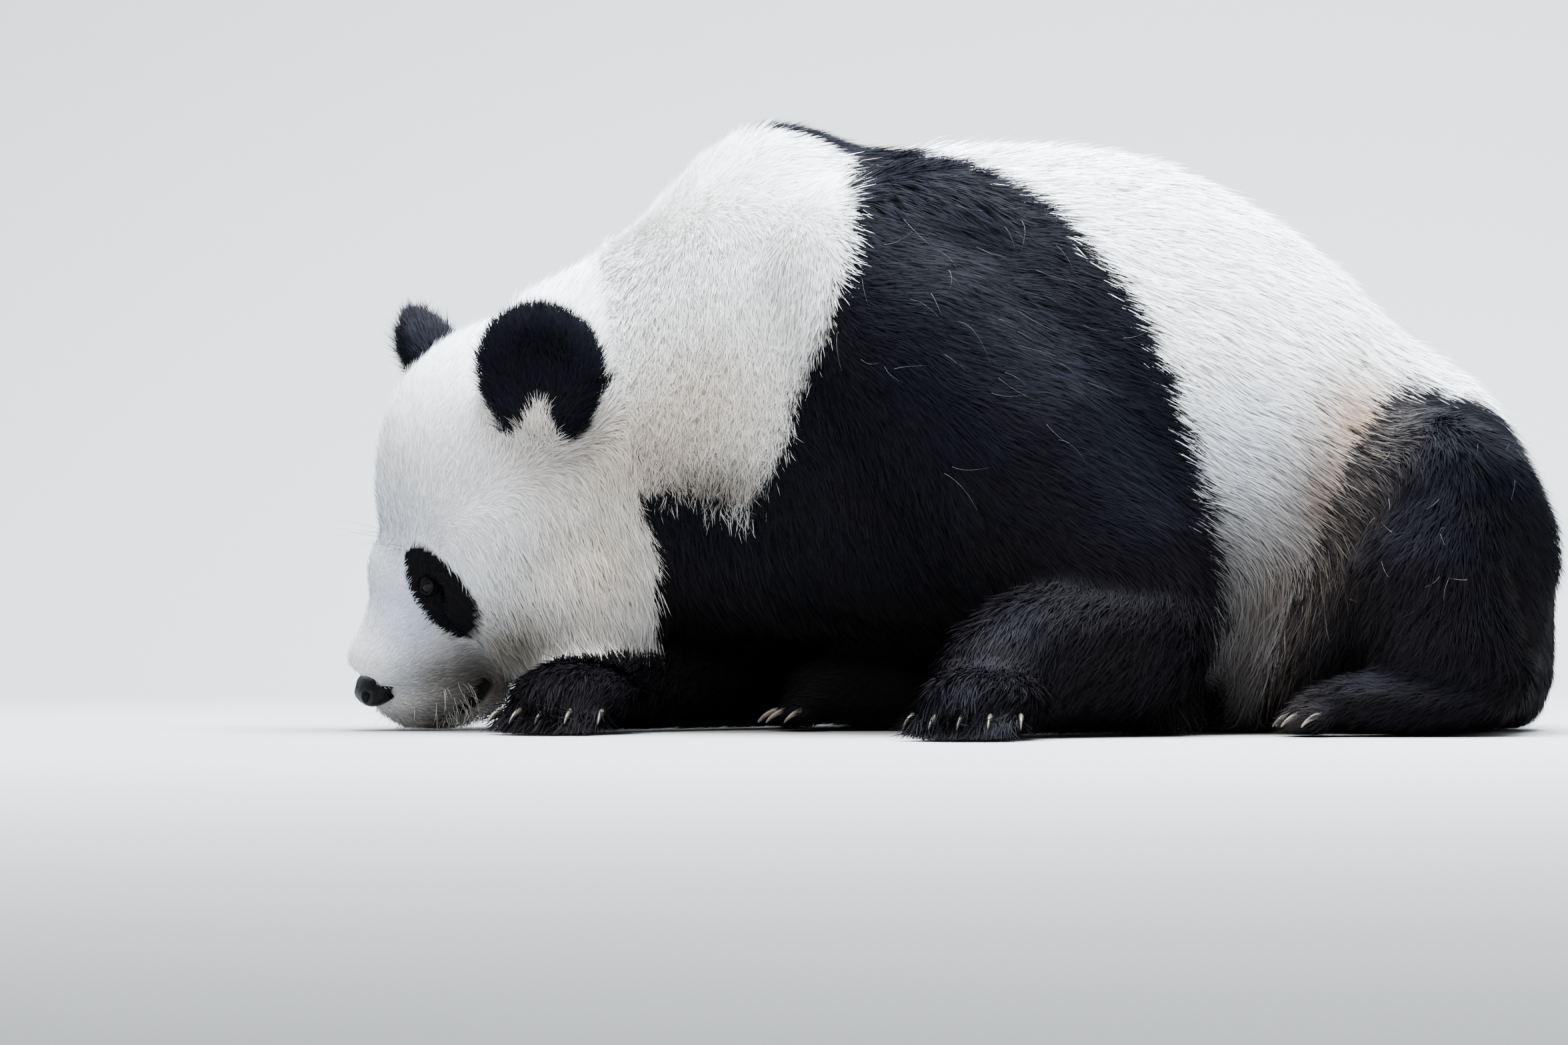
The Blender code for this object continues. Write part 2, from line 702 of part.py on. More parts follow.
def part_jaw(head):
    placed = head_place()
    down = placed.to_3x3() @ Vector((0, 0, -1))
    ahead = placed.to_3x3() @ Vector((-1, 0, 0))
    planes = [
        (tuple(placed @ in_head((0.1, 0, MOUTH_UP))), tuple(down)),
        (tuple(placed @ in_head((MOUTH_BACK, 0, 0))), tuple(ahead)),
    ]
    return split_off(head, "jaw", planes)


def build():
    clear_scene()
    black = surface("black_fur", BLACK, 0.8)
    white = surface("white_fur", WHITE, 0.85)
    body, head, eye_spots = grow_body()
    stand_on_floor(body)
    lower, feet, claws = build_feet(body, head)
    tail = make_tail()
    cut_from(tail, body)
    pieces = part_body(body)
    ears = [make_ear("ear_left", LEFT_EAR), make_ear("ear_right", RIGHT_EAR)]
    for ear in ears:
        cut_from(ear, head, pieces["neck"])
    eyes = [make_eye("eye_left", eye_spots[0]), make_eye("eye_right", eye_spots[1])]
    nose = make_nose()
    cut_from(head, *eyes, nose)
    jaw = part_jaw(head)
    dark = [pieces["shoulder_left"], pieces["shoulder_right"], pieces["thigh_left"]]
    dark += [pieces["thigh_right"], pieces["chest"], *lower, *feet, *ears]
    dress(dark, black)
    dress([head, jaw, pieces["neck"], pieces["belly"], pieces["rump"], tail], white)
    dress(eyes, surface("eye", EYE_BROWN, 0.08))
    dress([nose], surface("nose_leather", PAD_BLACK, 0.35))
    dress(claws, surface("claw_horn", CLAW_HORN, 0.4))
    for thing in bpy.data.objects:
        thing.data.transform(Matrix.Translation(ROW_SHIFT))


build()
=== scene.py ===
"""Giant panda crouched low, its head lowered over one foreleg.

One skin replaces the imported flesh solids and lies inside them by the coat's depth. The coat is
joined meshes of thin tapered tufts that follow the lie of the hair. Eyes, nose and claws are
pieces of their own. Metres, +Z up; the panda faces -X and its left side is toward -Y.
"""

from __future__ import annotations

import json
import logging
import math
from collections.abc import Iterator
from contextlib import contextmanager
from dataclasses import dataclass, field
from enum import Enum
from functools import cache

import bmesh
import bpy
import numpy as np
from mathutils import Matrix, Vector
from mathutils.bvhtree import BVHTree
from mathutils.kdtree import KDTree

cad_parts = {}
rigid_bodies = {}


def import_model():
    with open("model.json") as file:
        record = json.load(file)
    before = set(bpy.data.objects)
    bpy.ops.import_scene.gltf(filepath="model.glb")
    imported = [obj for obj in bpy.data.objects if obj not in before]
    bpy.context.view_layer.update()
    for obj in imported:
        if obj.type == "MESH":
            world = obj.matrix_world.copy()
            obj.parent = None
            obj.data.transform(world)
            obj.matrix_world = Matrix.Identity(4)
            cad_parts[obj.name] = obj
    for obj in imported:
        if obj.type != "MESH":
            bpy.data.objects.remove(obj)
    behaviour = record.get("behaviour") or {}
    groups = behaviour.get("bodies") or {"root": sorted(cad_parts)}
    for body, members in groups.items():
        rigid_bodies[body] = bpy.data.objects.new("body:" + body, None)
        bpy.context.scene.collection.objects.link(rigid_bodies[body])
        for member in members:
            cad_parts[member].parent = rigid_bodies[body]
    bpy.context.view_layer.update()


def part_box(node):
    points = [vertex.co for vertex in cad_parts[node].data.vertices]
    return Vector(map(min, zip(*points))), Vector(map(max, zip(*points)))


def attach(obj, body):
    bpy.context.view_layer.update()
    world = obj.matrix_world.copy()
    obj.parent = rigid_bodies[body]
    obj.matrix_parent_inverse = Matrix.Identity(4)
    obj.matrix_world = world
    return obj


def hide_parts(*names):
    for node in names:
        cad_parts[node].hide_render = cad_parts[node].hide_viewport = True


logging.basicConfig(level=logging.INFO, format="%(name)s: %(message)s")
LOG = logging.getLogger("panda")

Pair = tuple[float, float]
Triple = tuple[float, float, float]

SEED = 20261
ROOT_BODY = "root"
BAKE_UV = "OFBake"
COAT_COLOUR = "coat_colour"
UNWRAP_ANGLE = math.radians(80)
UNWRAP_MARGIN = 0.002
WELD_DISTANCE = 1e-5

# From the panda's own middle to the middle of its box, on the floor.
ROW_SHIFT = np.array((-0.0035, 0.1139, 0.0))

# Waves of the soft noise: how many sets, how many in each, how each set is finer and fainter.
NOISE_SETS = 3
NOISE_WAVES = 4
NOISE_FINER = 1.9
NOISE_FAINTER = 0.6
NOISE_PEAK = 4.2


class Slot(Enum):
    """Material slots of the record."""

    WHITE = "white_fur"
    BLACK = "black_fur"
    EYE = "eye"
    NOSE = "nose_leather"
    CLAW = "claw_horn"


# Small helpers


def unit(vectors: np.ndarray) -> np.ndarray:
    """Scales rows to length one.

    Args:
        vectors: Rows of three numbers.
    Returns:
        The same rows at unit length.
    """
    lengths = np.linalg.norm(vectors, axis=-1, keepdims=True)
    return vectors / np.maximum(lengths, 1e-9)


def smooth_step(low: float, high: float, values: np.ndarray) -> np.ndarray:
    """Rises smoothly from 0 at low to 1 at high.

    Args:
        low: Value where the result leaves 0.
        high: Value where the result reaches 1.
        values: The values to map.
    Returns:
        Shares from 0 to 1.
    """
    share = np.clip((values - low) / (high - low), 0.0, 1.0)
    return share * share * (3.0 - 2.0 * share)


def smooth_fall(low: float, high: float, values: np.ndarray) -> np.ndarray:
    """Falls smoothly from 1 at low to 0 at high, as smooth_step rises."""
    return 1.0 - smooth_step(low, high, values)


def bell(values: np.ndarray, width: float | np.ndarray) -> np.ndarray:
    """1 where a value is 0, falling off to both sides over the width."""
    return np.exp(-((values / width) ** 2))


def blend(old: np.ndarray, new: np.ndarray | Triple, share: np.ndarray) -> np.ndarray:
    """Passes from old rows to new ones.

    Args:
        old: Rows of three numbers.
        new: Rows of three numbers, or one row for all.
        share: One share for each row: 0 keeps the old row, 1 takes the new one.
    Returns:
        The mixed rows.
    """
    share = share[:, None]
    return old * (1 - share) + np.asarray(new) * share


def away_from(points: np.ndarray, place: np.ndarray) -> np.ndarray:
    """Distance of each point from one place."""
    return np.linalg.norm(points - place, axis=1)


def rows_of(row: Triple, count: int) -> np.ndarray:
    """The same row a number of times."""
    return np.repeat(np.array([row]), count, axis=0)


def lay_flat(ways: np.ndarray, normals: np.ndarray) -> np.ndarray:
    """Turns ways until they lie along the surface, at unit length."""
    return unit(ways - normals * np.sum(ways * normals, axis=1, keepdims=True))


def curve_at(line: tuple[Pair, ...], values: np.ndarray) -> np.ndarray:
    """Reads a line of pairs: the second number, where the first one is given.

    Args:
        line: Pairs, with their first numbers in rising order.
        values: First numbers to read the line at.
    Returns:
        One second number for each value.
    """
    return np.interp(values, *zip(*line))


def line_distance(points: np.ndarray, line: tuple[tuple[float, ...], ...]) -> np.ndarray:
    """Distance of each point from a bent line.

    Args:
        points: Rows of places.
        line: Corners of the line.
    Returns:
        One distance for each point.
    """
    best = np.full(len(points), np.inf)
    for start, end in zip(line, line[1:]):
        start, span = np.array(start), np.array(end) - np.array(start)
        share = np.clip((points - start) @ span / (span @ span), 0.0, 1.0)[:, None]
        best = np.minimum(best, np.linalg.norm(points - start - share * span, axis=1))
    return best


def soft_noise(points: np.ndarray, scale: float, seed: int) -> np.ndarray:
    """Smooth waves in space, from -1 to 1, the same on every run.

    Args:
        points: Rows of x, y and z in metres.
        scale: Size of the largest waves in metres.
        seed: Picks the set of waves.
    Returns:
        One value for each point.
    """
    random = np.random.default_rng(seed)
    total = np.zeros(len(points))
    for level in range(NOISE_SETS):
        for _ in range(NOISE_WAVES):
            way = unit(random.normal(size=3)) * (2 * math.pi / scale) * NOISE_FINER**level
            total += np.sin(points @ way + random.uniform(0, 2 * math.pi)) * NOISE_FAINTER**level
    return total / NOISE_PEAK


def activate(thing: bpy.types.Object) -> None:
    """Makes one object the only one selected, and the active one."""
    bpy.ops.object.select_all(action="DESELECT")
    thing.select_set(True)
    bpy.context.view_layer.objects.active = thing


def apply_modifiers(thing: bpy.types.Object) -> None:
    """Applies every modifier of an object in order."""
    activate(thing)
    for modifier in list(thing.modifiers):
        bpy.ops.object.modifier_apply(modifier=modifier.name)


def subdivide(thing: bpy.types.Object, levels: int) -> None:
    """Rounds a mesh by subdivision."""
    rounder = thing.modifiers.new("Subdivision", "SUBSURF")
    rounder.levels = levels
    rounder.render_levels = levels
    apply_modifiers(thing)


@contextmanager
def editing(thing: bpy.types.Object, select: str = "SELECT") -> Iterator[None]:
    """Holds one object in edit mode, with all or nothing of its mesh selected."""
    activate(thing)
    bpy.ops.object.mode_set(mode="EDIT")
    bpy.ops.mesh.select_all(action=select)
    yield
    bpy.ops.object.mode_set(mode="OBJECT")


def shade_smooth(thing: bpy.types.Object) -> None:
    """Shades every face of a mesh smoothly."""
    thing.data.polygons.foreach_set("use_smooth", np.ones(len(thing.data.polygons), bool))


def copy_of(node: str) -> bpy.types.Object:
    """Makes a copy of a CAD node, with a mesh of its own."""
    copy = bpy.data.objects.new("copy_" + node, bpy.data.objects[node].data.copy())
    bpy.context.scene.collection.objects.link(copy)
    return copy


def joined(things: list[bpy.types.Object], name: str) -> bpy.types.Object:
    """Joins objects into one.

    Args:
        things: The objects.
        name: Name of the whole.
    Returns:
        The whole.
    """
    bpy.ops.object.select_all(action="DESELECT")
    for thing in things:
        thing.select_set(True)
    bpy.context.view_layer.objects.active = things[0]
    bpy.ops.object.join()
    whole = bpy.context.view_layer.objects.active
    whole.name = name
    return whole


def middle_of(low: Vector, high: Vector) -> np.ndarray:
    """Middle of the box between two corners."""
    return np.array((low + high) / 2)


def mesh_object(name: str, corners: np.ndarray, faces: list | np.ndarray) -> bpy.types.Object:
    """Makes an object at the origin from corners and faces.

    Args:
        name: Name of the piece.
        corners: Rows of x, y and z.
        faces: Corner indices of each face.
    Returns:
        The new object, linked to the scene.
    """
    mesh = bpy.data.meshes.new(name)
    mesh.from_pydata(corners.tolist(), [], [list(map(int, face)) for face in faces])
    made = bpy.data.objects.new(name, mesh)
    bpy.context.scene.collection.objects.link(made)
    return made


def read_rows(
    items: bpy.types.bpy_prop_collection, name: str, width: int, kind: type = np.float32
) -> np.ndarray:
    """Reads one property of many items of a mesh.

    Args:
        items: Vertices, edges or the like.
        name: Blender's name of the property.
        width: How many numbers each item has.
        kind: Kind of the numbers.
    Returns:
        One row for each item.
    """
    flat = np.empty(len(items) * width, kind)
    items.foreach_get(name, flat)
    return flat.reshape(-1, width)


def corners_of(thing: bpy.types.Object) -> np.ndarray:
    """Corner places of a mesh object as rows."""
    return read_rows(thing.data.vertices, "co", 3).astype(np.float64)


def normals_of(thing: bpy.types.Object) -> np.ndarray:
    """Corner normals of a mesh object as rows."""
    return read_rows(thing.data.vertex_normals, "vector", 3).astype(np.float64)


def place_corners(thing: bpy.types.Object, corners: np.ndarray) -> None:
    """Moves the corners of a mesh object."""
    thing.data.vertices.foreach_set("co", corners.astype(np.float32).ravel())
    thing.data.update()


# The head's and ears' own axes


@dataclass(frozen=True)
class HeadFrame:
    """Where the head is and how it is turned: forward, left and up from its centre."""

    at: Triple = (-0.428, -0.020, 0.190)
    roll: float = math.radians(14)
    pitch: float = math.radians(-34)
    yaw: float = math.radians(13)

    def matrix(self) -> np.ndarray:
        """Columns are the head's forward, left and up ways in the row's axes."""
        turn = (
            Matrix.Rotation(self.yaw, 3, "Z")
            @ Matrix.Rotation(self.pitch, 3, "Y")
            @ Matrix.Rotation(self.roll, 3, "X")
        )
        return np.array(turn) @ np.diag((-1.0, -1.0, 1.0))

    def centre(self) -> np.ndarray:
        """The head's centre in the row's axes."""
        return np.array(self.at) + ROW_SHIFT

    def inward(self, points: np.ndarray) -> np.ndarray:
        """Row places as forward, left and up sizes."""
        return (points - self.centre()) @ self.matrix()

    def outward(self, places: np.ndarray) -> np.ndarray:
        """Forward, left and up sizes as row places."""
        return np.asarray(places) @ self.matrix().T + self.centre()

    def way(self, ways: np.ndarray) -> np.ndarray:
        """Forward, left and up ways as row ways."""
        return np.asarray(ways) @ self.matrix().T


@dataclass(frozen=True)
class EarFrame:
    """A cupped ear: its centre, the way from root to tip and the way the cup faces."""

    centre: Triple
    along: Triple
    facing: Triple
    radii: Triple = (0.062, 0.021, 0.064)

    def axes(self) -> np.ndarray:
        """Columns are across, facing and along."""
        along = unit(np.array(self.along))
        facing = np.array(self.facing)
        facing = unit(facing - along * (facing @ along))
        return np.stack((np.cross(facing, along), facing, along), axis=1)

    def inward(self, points: np.ndarray) -> np.ndarray:
        """Row places as across, facing and along shares of the ear's radii."""
        return (points - np.array(self.centre) - ROW_SHIFT) @ self.axes() / np.array(self.radii)


HEAD = HeadFrame()
LEFT_EAR = EarFrame((-0.397, -0.176, 0.346), (0.02, -0.22, 0.97), (-0.20, -0.94, -0.22))
RIGHT_EAR = EarFrame((-0.502, 0.084, 0.350), (-0.38, 0.26, 0.88), (-0.88, 0.24, -0.42))
EARS = (LEFT_EAR, RIGHT_EAR)


# What grows where


@dataclass(frozen=True)
class RegionCoat:
    """Coat of one named part of the body: hair length, rise from the skin, flow and thickness.

    The lift is in degrees. The flow is the way the hair lies in the row's axes. The thickness
    is a share of the usual number of tufts, and the stray is how far single tufts leave the
    flow. Parts of one group share their coat pieces.
    """

    length: float
    lift: float
    flow: Triple
    thickness: float = 1.0
    stray: float = 0.18
    group: str = "body"


REGIONS: dict[str, RegionCoat] = {
    "head": RegionCoat(0.016, 29, (0.8, 0.0, 0.4), 1.40, 0.24, "head"),
    "jaw": RegionCoat(0.011, 30, (0.8, 0.0, -0.4), 1.7, 0.30, "head"),
    "ear_left": RegionCoat(0.020, 34, (0.0, 0.0, 1.0), 3.0, 0.32, "ears"),
    "ear_right": RegionCoat(0.024, 32, (0.0, 0.0, 1.0), 3.2, 0.28, "ears"),
    "neck": RegionCoat(0.0175, 36, (0.22, 0.0, -0.97), 1.50, 0.20, "neck"),
    "chest": RegionCoat(0.027, 21, (0.55, 0.0, -0.83), 1.00, 0.14, "band"),
    "shoulder_left": RegionCoat(0.022, 19, (0.90, -0.05, -0.42), 1.15, 0.12, "band"),
    "shoulder_right": RegionCoat(0.022, 19, (0.90, 0.05, -0.42), 0.80, 0.12, "band"),
    "belly": RegionCoat(0.024, 20, (0.88, 0.0, -0.50), 1.00, 0.13, "flank"),
    "rump": RegionCoat(0.024, 24, (0.80, 0.0, -0.60), 1.00, 0.14, "rump"),
    "tail": RegionCoat(0.028, 22, (0.10, 0.0, -1.0), 0.9, 0.18, "rump"),
    "thigh_left": RegionCoat(0.023, 28, (0.10, -0.05, -1.0), 1.1, 0.22, "hind_legs"),
    "thigh_right": RegionCoat(0.025, 26, (-0.45, -0.10, -0.85), 0.8, 0.20, "hind_legs"),
    "foreleg_left": RegionCoat(0.027, 26, (-0.50, -0.50, -0.62), 1.15, 0.20, "forelegs"),
    "foreleg_right": RegionCoat(0.026, 25, (-0.66, -0.66, -0.35), 1.0, 0.20, "forelegs"),
    "forepaw_left": RegionCoat(0.023, 24, (-0.276, -0.961, -0.35), 1.4, 0.20, "forelegs"),
    "forepaw_right": RegionCoat(0.023, 24, (-0.407, -0.914, -0.35), 1.5, 0.20, "forelegs"),
    "hindleg_left": RegionCoat(0.025, 26, (-0.40, -0.10, -0.90), 1.1, 0.22, "hind_legs"),
    "hindleg_right": RegionCoat(0.024, 24, (-0.70, -0.50, -0.40), 0.9, 0.20, "hind_legs"),
    "hindfoot_left": RegionCoat(0.019, 24, (-0.96, -0.06, -0.30), 1.4, 0.20, "hind_legs"),
    "hindfoot_right": RegionCoat(0.014, 20, (-0.97, -0.18, -0.12), 1.4, 0.18, "hind_legs"),
}
REGION_NAMES = tuple(REGIONS)
HEAD_NAMES = ("head", "jaw")
EAR_NAMES = ("ear_left", "ear_right")
ALWAYS_BLACK = (
    "foreleg_left", "foreleg_right", "forepaw_left", "forepaw_right", "hindleg_right",
    "hindfoot_left", "hindfoot_right", "thigh_right",
)
BAND_NAMES = ("chest", "shoulder_left", "shoulder_right", "neck", "belly")
HAUNCH_NAMES = ("thigh_left", "hindleg_left")
TRUNK_NAMES = ("belly", "rump")
FOREPAWS = ("forepaw_left", "forepaw_right")


def names_of(regions: np.ndarray) -> np.ndarray:
    """Region names from region indices."""
    return np.array(REGION_NAMES)[regions]


@dataclass(frozen=True)
class Tint:
    """A tint on the white coat, a real stain or painted shade or skylight as noted at each: where
    it is seen from the side, its reach, colour and strength.
    """

    name: str
    at: Pair
    reach: Pair
    colour: Triple
    strength: float


@dataclass(frozen=True)
class Seen:
    """Points as the markings see them.

    Region names; along, height and side from the panda's own middle, the side toward its right;
    the unevenness of an edge; and the chance that mingles the two coats along it.
    """

    names: np.ndarray
    along: np.ndarray
    height: np.ndarray
    side: np.ndarray
    plain: np.ndarray
    mixed: np.ndarray | float


@dataclass(frozen=True)
class Markings:
    """Edges of the black coat, as lines across the side of the body, and the tints: stains, painted
    shade and painted skylight.
    """

    neck_edge: tuple[Pair, ...] = (
        (0.190, -0.205), (0.216, -0.197), (0.235, -0.181), (0.257, -0.169), (0.282, -0.163),
        (0.322, -0.1515), (0.387, -0.1225), (0.465, -0.093), (0.567, -0.103), (0.640, -0.110),
    )
    far_neck_shift: float = -0.085  # the black reaches further forward past the ridge
    throat_height: float = 0.214
    throat_rise: float = 0.015
    band_edge: tuple[Pair, ...] = (
        (0.000, 0.225), (0.049, 0.235), (0.094, 0.248), (0.159, 0.2545), (0.218, 0.2415),
        (0.289, 0.222), (0.348, 0.2025), (0.406, 0.1765), (0.471, 0.130), (0.502, 0.096),
        (0.528, 0.060), (0.546, 0.022), (0.5565, -0.022), (0.566, -0.048),
    )
    # Tops of the black on the left and right hind legs, as (along, height).
    left_dome: tuple[Pair, ...] = (
        (0.283, -0.050), (0.291, 0.030), (0.299, 0.0715), (0.312, 0.117), (0.338, 0.176),
        (0.352, 0.210), (0.370, 0.254), (0.386, 0.291), (0.420, 0.330), (0.457, 0.334),
        (0.479, 0.322), (0.515, 0.314), (0.540, 0.290), (0.560, 0.250), (0.575, 0.215),
        (0.600, 0.200),
    )
    right_dome: tuple[Pair, ...] = (
        (0.200, -0.050), (0.222, 0.060), (0.270, 0.160), (0.330, 0.225), (0.400, 0.245),
        (0.480, 0.215), (0.540, 0.140), (0.580, 0.090),
    )
    patch_at: Pair = (-0.4965, 0.1350)
    patch_half: Pair = (0.0505, 0.0250)
    patch_turn: float = math.radians(-54)
    patch_flare: Pair = (1.04, 0.16)  # how wide it is at its middle, and how much more below
    patch_waver: float = 6.0
    edge_waver: float = 0.004
    waver_size: float = 0.045
    edge_mix: float = 0.0080
    hip_mix: float = 0.0120
    hip_reach: float = 0.036
    # How wide the black of the hind legs is: the left one widens toward the seat.
    left_width: float = 0.115
    left_widening: float = 0.135
    right_width: float = 0.115
    # Black round the ears, in shares of their radii: round the root, through the head, the cup.
    ear_reach: float = 1.10
    ear_through: float = 1.7
    cup_reach: float = 1.5
    # The tints: real stains, and painted shade and painted skylight where noted.
    tints: tuple[Tint, ...] = (
        Tint("side of the neck", (-0.240, 0.315), (0.095, 0.092), (0.62, 0.53, 0.42), 0.74),
        # Dark grey under the throat fringe: painted shade below the lowered head, with some dirt.
        Tint("throat fringe", (-0.225, 0.238), (0.078, 0.036), (0.160, 0.138, 0.115), 0.90),
        Tint("below the ear", (-0.310, 0.275), (0.070, 0.045), (0.54, 0.44, 0.33), 0.62),
        # Dark yellowish brown behind the eye patch: a brown stain deepened by painted shade between
        # the hairs.
        Tint("behind the eye patch", (-0.425, 0.088), (0.046, 0.050), (0.100, 0.078, 0.045), 0.90),
        Tint("cheek", (-0.350, 0.170), (0.095, 0.115), (0.58, 0.46, 0.34), 0.74),
        Tint("temple", (-0.415, 0.290), (0.060, 0.050), (0.56, 0.46, 0.35), 0.62),
        # Dark at the corner of the mouth: painted shade in the crease.
        Tint("corner of the mouth", (-0.452, 0.045), (0.034, 0.026), (0.120, 0.080, 0.060), 0.90),
        # Grey on the lower side of the muzzle: painted shade.
        Tint("side of the muzzle", (-0.495, 0.050), (0.056, 0.044), (0.175, 0.158, 0.138), 0.90),
        # Grey under the chin: painted shade.
        Tint("chin", (-0.500, 0.012), (0.065, 0.022), (0.210, 0.198, 0.182), 0.86),
        # Bluish grey: painted cool shade on the top of the muzzle.
        Tint("top of the muzzle", (-0.530, 0.110), (0.050, 0.075), (0.52, 0.62, 0.84), 0.62),
        # Bluish grey: painted cool shade on the brow.
        Tint("brow", (-0.545, 0.205), (0.035, 0.055), (0.50, 0.55, 0.63), 0.62),
        # Faintly bluer and darker: the painted cool cast of the sky's light on the forehead.
        Tint("forehead", (-0.455, 0.250), (0.080, 0.120), (0.72, 0.80, 0.92), 0.50),
        Tint("top of the hip", (0.374, 0.298), (0.054, 0.064), (0.42, 0.24, 0.125), 0.88),
        Tint("middle of the hip", (0.338, 0.228), (0.056, 0.072), (0.116, 0.071, 0.048), 0.92),
        Tint("foot of the hip", (0.300, 0.158), (0.066, 0.072), (0.094, 0.063, 0.046), 0.95),
        # Near-black grey by the floor: painted shade under the hanging flank.
        Tint("flank fringe", (0.262, 0.048), (0.090, 0.056), (0.060, 0.053, 0.052), 0.95),
        # Dark grey low on the flank behind the band: painted shade.
        Tint("low flank", (0.242, 0.160), (0.048, 0.096), (0.070, 0.062, 0.062), 0.90),
        Tint("before the thigh", (0.284, 0.102), (0.050, 0.060), (0.066, 0.044, 0.032), 0.94),
        # Bluish grey: painted cool shade high on the flank.
        Tint("high flank", (0.262, 0.285), (0.070, 0.080), (0.52, 0.55, 0.62), 0.60),
    )
    hip_line: tuple[Pair, ...] = (
        (0.395, 0.290), (0.360, 0.235), (0.330, 0.160), (0.300, 0.090), (0.280, 0.020),
    )

    def side_view(self, points: np.ndarray, on_head: np.ndarray) -> np.ndarray:
        """Along and height of each point, with the head's right half folded onto its left.

        Args:
            points: Row places.
            on_head: Which points belong to the head.
        Returns:
            Rows of along and height, from the panda's own middle.
        """
        inside = HEAD.inward(points)
        inside[:, 1] = np.abs(inside[:, 1])
        folded = np.where(on_head[:, None], HEAD.outward(inside), points) - ROW_SHIFT
        return folded[:, (0, 2)]

    def black_share(
        self, points: np.ndarray, regions: np.ndarray, mixed: np.ndarray | float = 0.0
    ) -> np.ndarray:
        """How black the coat is at each point, 0 or 1 with a wavering edge.

        Args:
            points: Row places.
            regions: Index of each point's region.
            mixed: Chance of each point, which mingles the two coats along their edges.
        Returns:
            Shares from 0 to 1.
        """
        names = names_of(regions)
        on_head = np.isin(names, HEAD_NAMES)
        plain = self.edge_waver * soft_noise(points, self.waver_size, seed=11)
        waver = plain + self.edge_mix * mixed
        flat = self.side_view(points, on_head)
        seen = Seen(names, *flat.T, points[:, 1] - ROW_SHIFT[1], plain, mixed)
        black = np.isin(names, ALWAYS_BLACK).astype(float)
        black[self.on_band(seen) | self.on_haunches(seen)] = 1.0
        black[on_head] = self.on_patch(flat[on_head], waver[on_head])
        for ear in EARS:
            inside = ear.inward(points)
            on_ear = self.on_ear(names, inside, plain)
            black = np.where(on_ear, 1.0 - self.ear_tuft(inside, waver), black)
        return black

    def on_band(self, seen: Seen) -> np.ndarray:
        """Which points the black band round the shoulders and the chest covers.

        Args:
            seen: The points.
        Returns:
            True on the band.
        """
        waver = seen.plain + self.edge_mix * seen.mixed
        far = smooth_step(-0.070, -0.030, seen.side) * smooth_step(0.42, 0.55, seen.height)
        neck_edge = curve_at(self.neck_edge, seen.height) + self.far_neck_shift * far
        throat = self.throat_height + self.throat_rise * smooth_fall(-0.260, -0.195, seen.along)
        on_neck = (seen.along + waver > neck_edge) | (seen.height < throat + waver * 1.6)
        before_flank = seen.along + waver < curve_at(self.band_edge, seen.height)
        return np.isin(seen.names, BAND_NAMES) & on_neck & before_flank

    def on_haunches(self, seen: Seen) -> np.ndarray:
        """Which points the black domes of the hind legs cover.

        Args:
            seen: The points.
        Returns:
            True on the domes.
        """
        mixed = seen.mixed * (0.25 + 0.75 * smooth_fall(0.42, 0.50, seen.along))
        height = seen.height + seen.plain + self.hip_mix * mixed
        edge = self.left_widening * smooth_step(0.47, 0.54, seen.along) - self.left_width
        on_left = np.isin(seen.names, HAUNCH_NAMES + TRUNK_NAMES) & (seen.side < edge)
        on_left &= height < curve_at(self.left_dome, seen.along)
        on_right = (seen.names == "rump") & (seen.side > self.right_width)
        return on_left | (on_right & (height < curve_at(self.right_dome, seen.along)))

    def on_ear(self, names: np.ndarray, inside: np.ndarray, plain: np.ndarray) -> np.ndarray:
        """Which points one ear, or the black round its root, covers.

        Args:
            names: Region name of each point.
            inside: Places as shares of the ear's radii.
            plain: Unevenness of the edge.
        Returns:
            True on the ear.
        """
        spread = np.hypot(inside[:, 0], inside[:, 2]) + plain * 5.0
        narrow = 0.98 - 0.62 * np.maximum(-0.25 - inside[:, 2], 0.0)
        root = np.isin(names, (*HEAD_NAMES, *EAR_NAMES, "neck")) & (spread < self.ear_reach)
        root &= (np.abs(inside[:, 1]) < self.ear_through) & (np.abs(inside[:, 0] + 0.02) < narrow)
        cup = np.isin(names, EAR_NAMES) & (inside[:, 2] > -0.45)
        return root | (cup & (np.linalg.norm(inside, axis=1) < self.cup_reach))

    def on_patch(self, flat: np.ndarray, waver: np.ndarray) -> np.ndarray:
        """1 inside the dark patch round an eye and 0 outside it."""
        away = flat - np.array(self.patch_at)
        turn = self.patch_turn
        long = away[:, 0] * math.cos(turn) + away[:, 1] * math.sin(turn)
        wide = -away[:, 0] * math.sin(turn) + away[:, 1] * math.cos(turn)
        middle, flare = self.patch_flare
        half = self.patch_half[1] * (middle + flare * long / self.patch_half[0])
        round_share = np.sqrt((long / self.patch_half[0]) ** 2 + (wide / half) ** 2)
        return (round_share + waver * self.patch_waver < 1.0).astype(float)

    def ear_tuft(self, inside: np.ndarray, waver: np.ndarray) -> np.ndarray:
        """1 on the pale tuft low inside the cup of an ear.

        Args:
            inside: Places as shares of the ear's radii.
            waver: Unevenness of the edge.
        Returns:
            One share for each place.
        """
        half = 0.66 * (-0.50 - inside[:, 2]) + waver * 3.0
        return ((np.abs(inside[:, 0] + 0.03) < half) & (inside[:, 1] > -0.3)).astype(float)

    def hip_share(self, flat: np.ndarray) -> np.ndarray:
        """How brown the mingled coat is along the front edge of the left thigh.

        Args:
            flat: Rows of along and height, from the side.
        Returns:
            Shares from 0 to 1.
        """
        return bell(line_distance(flat, self.hip_line), self.hip_reach)


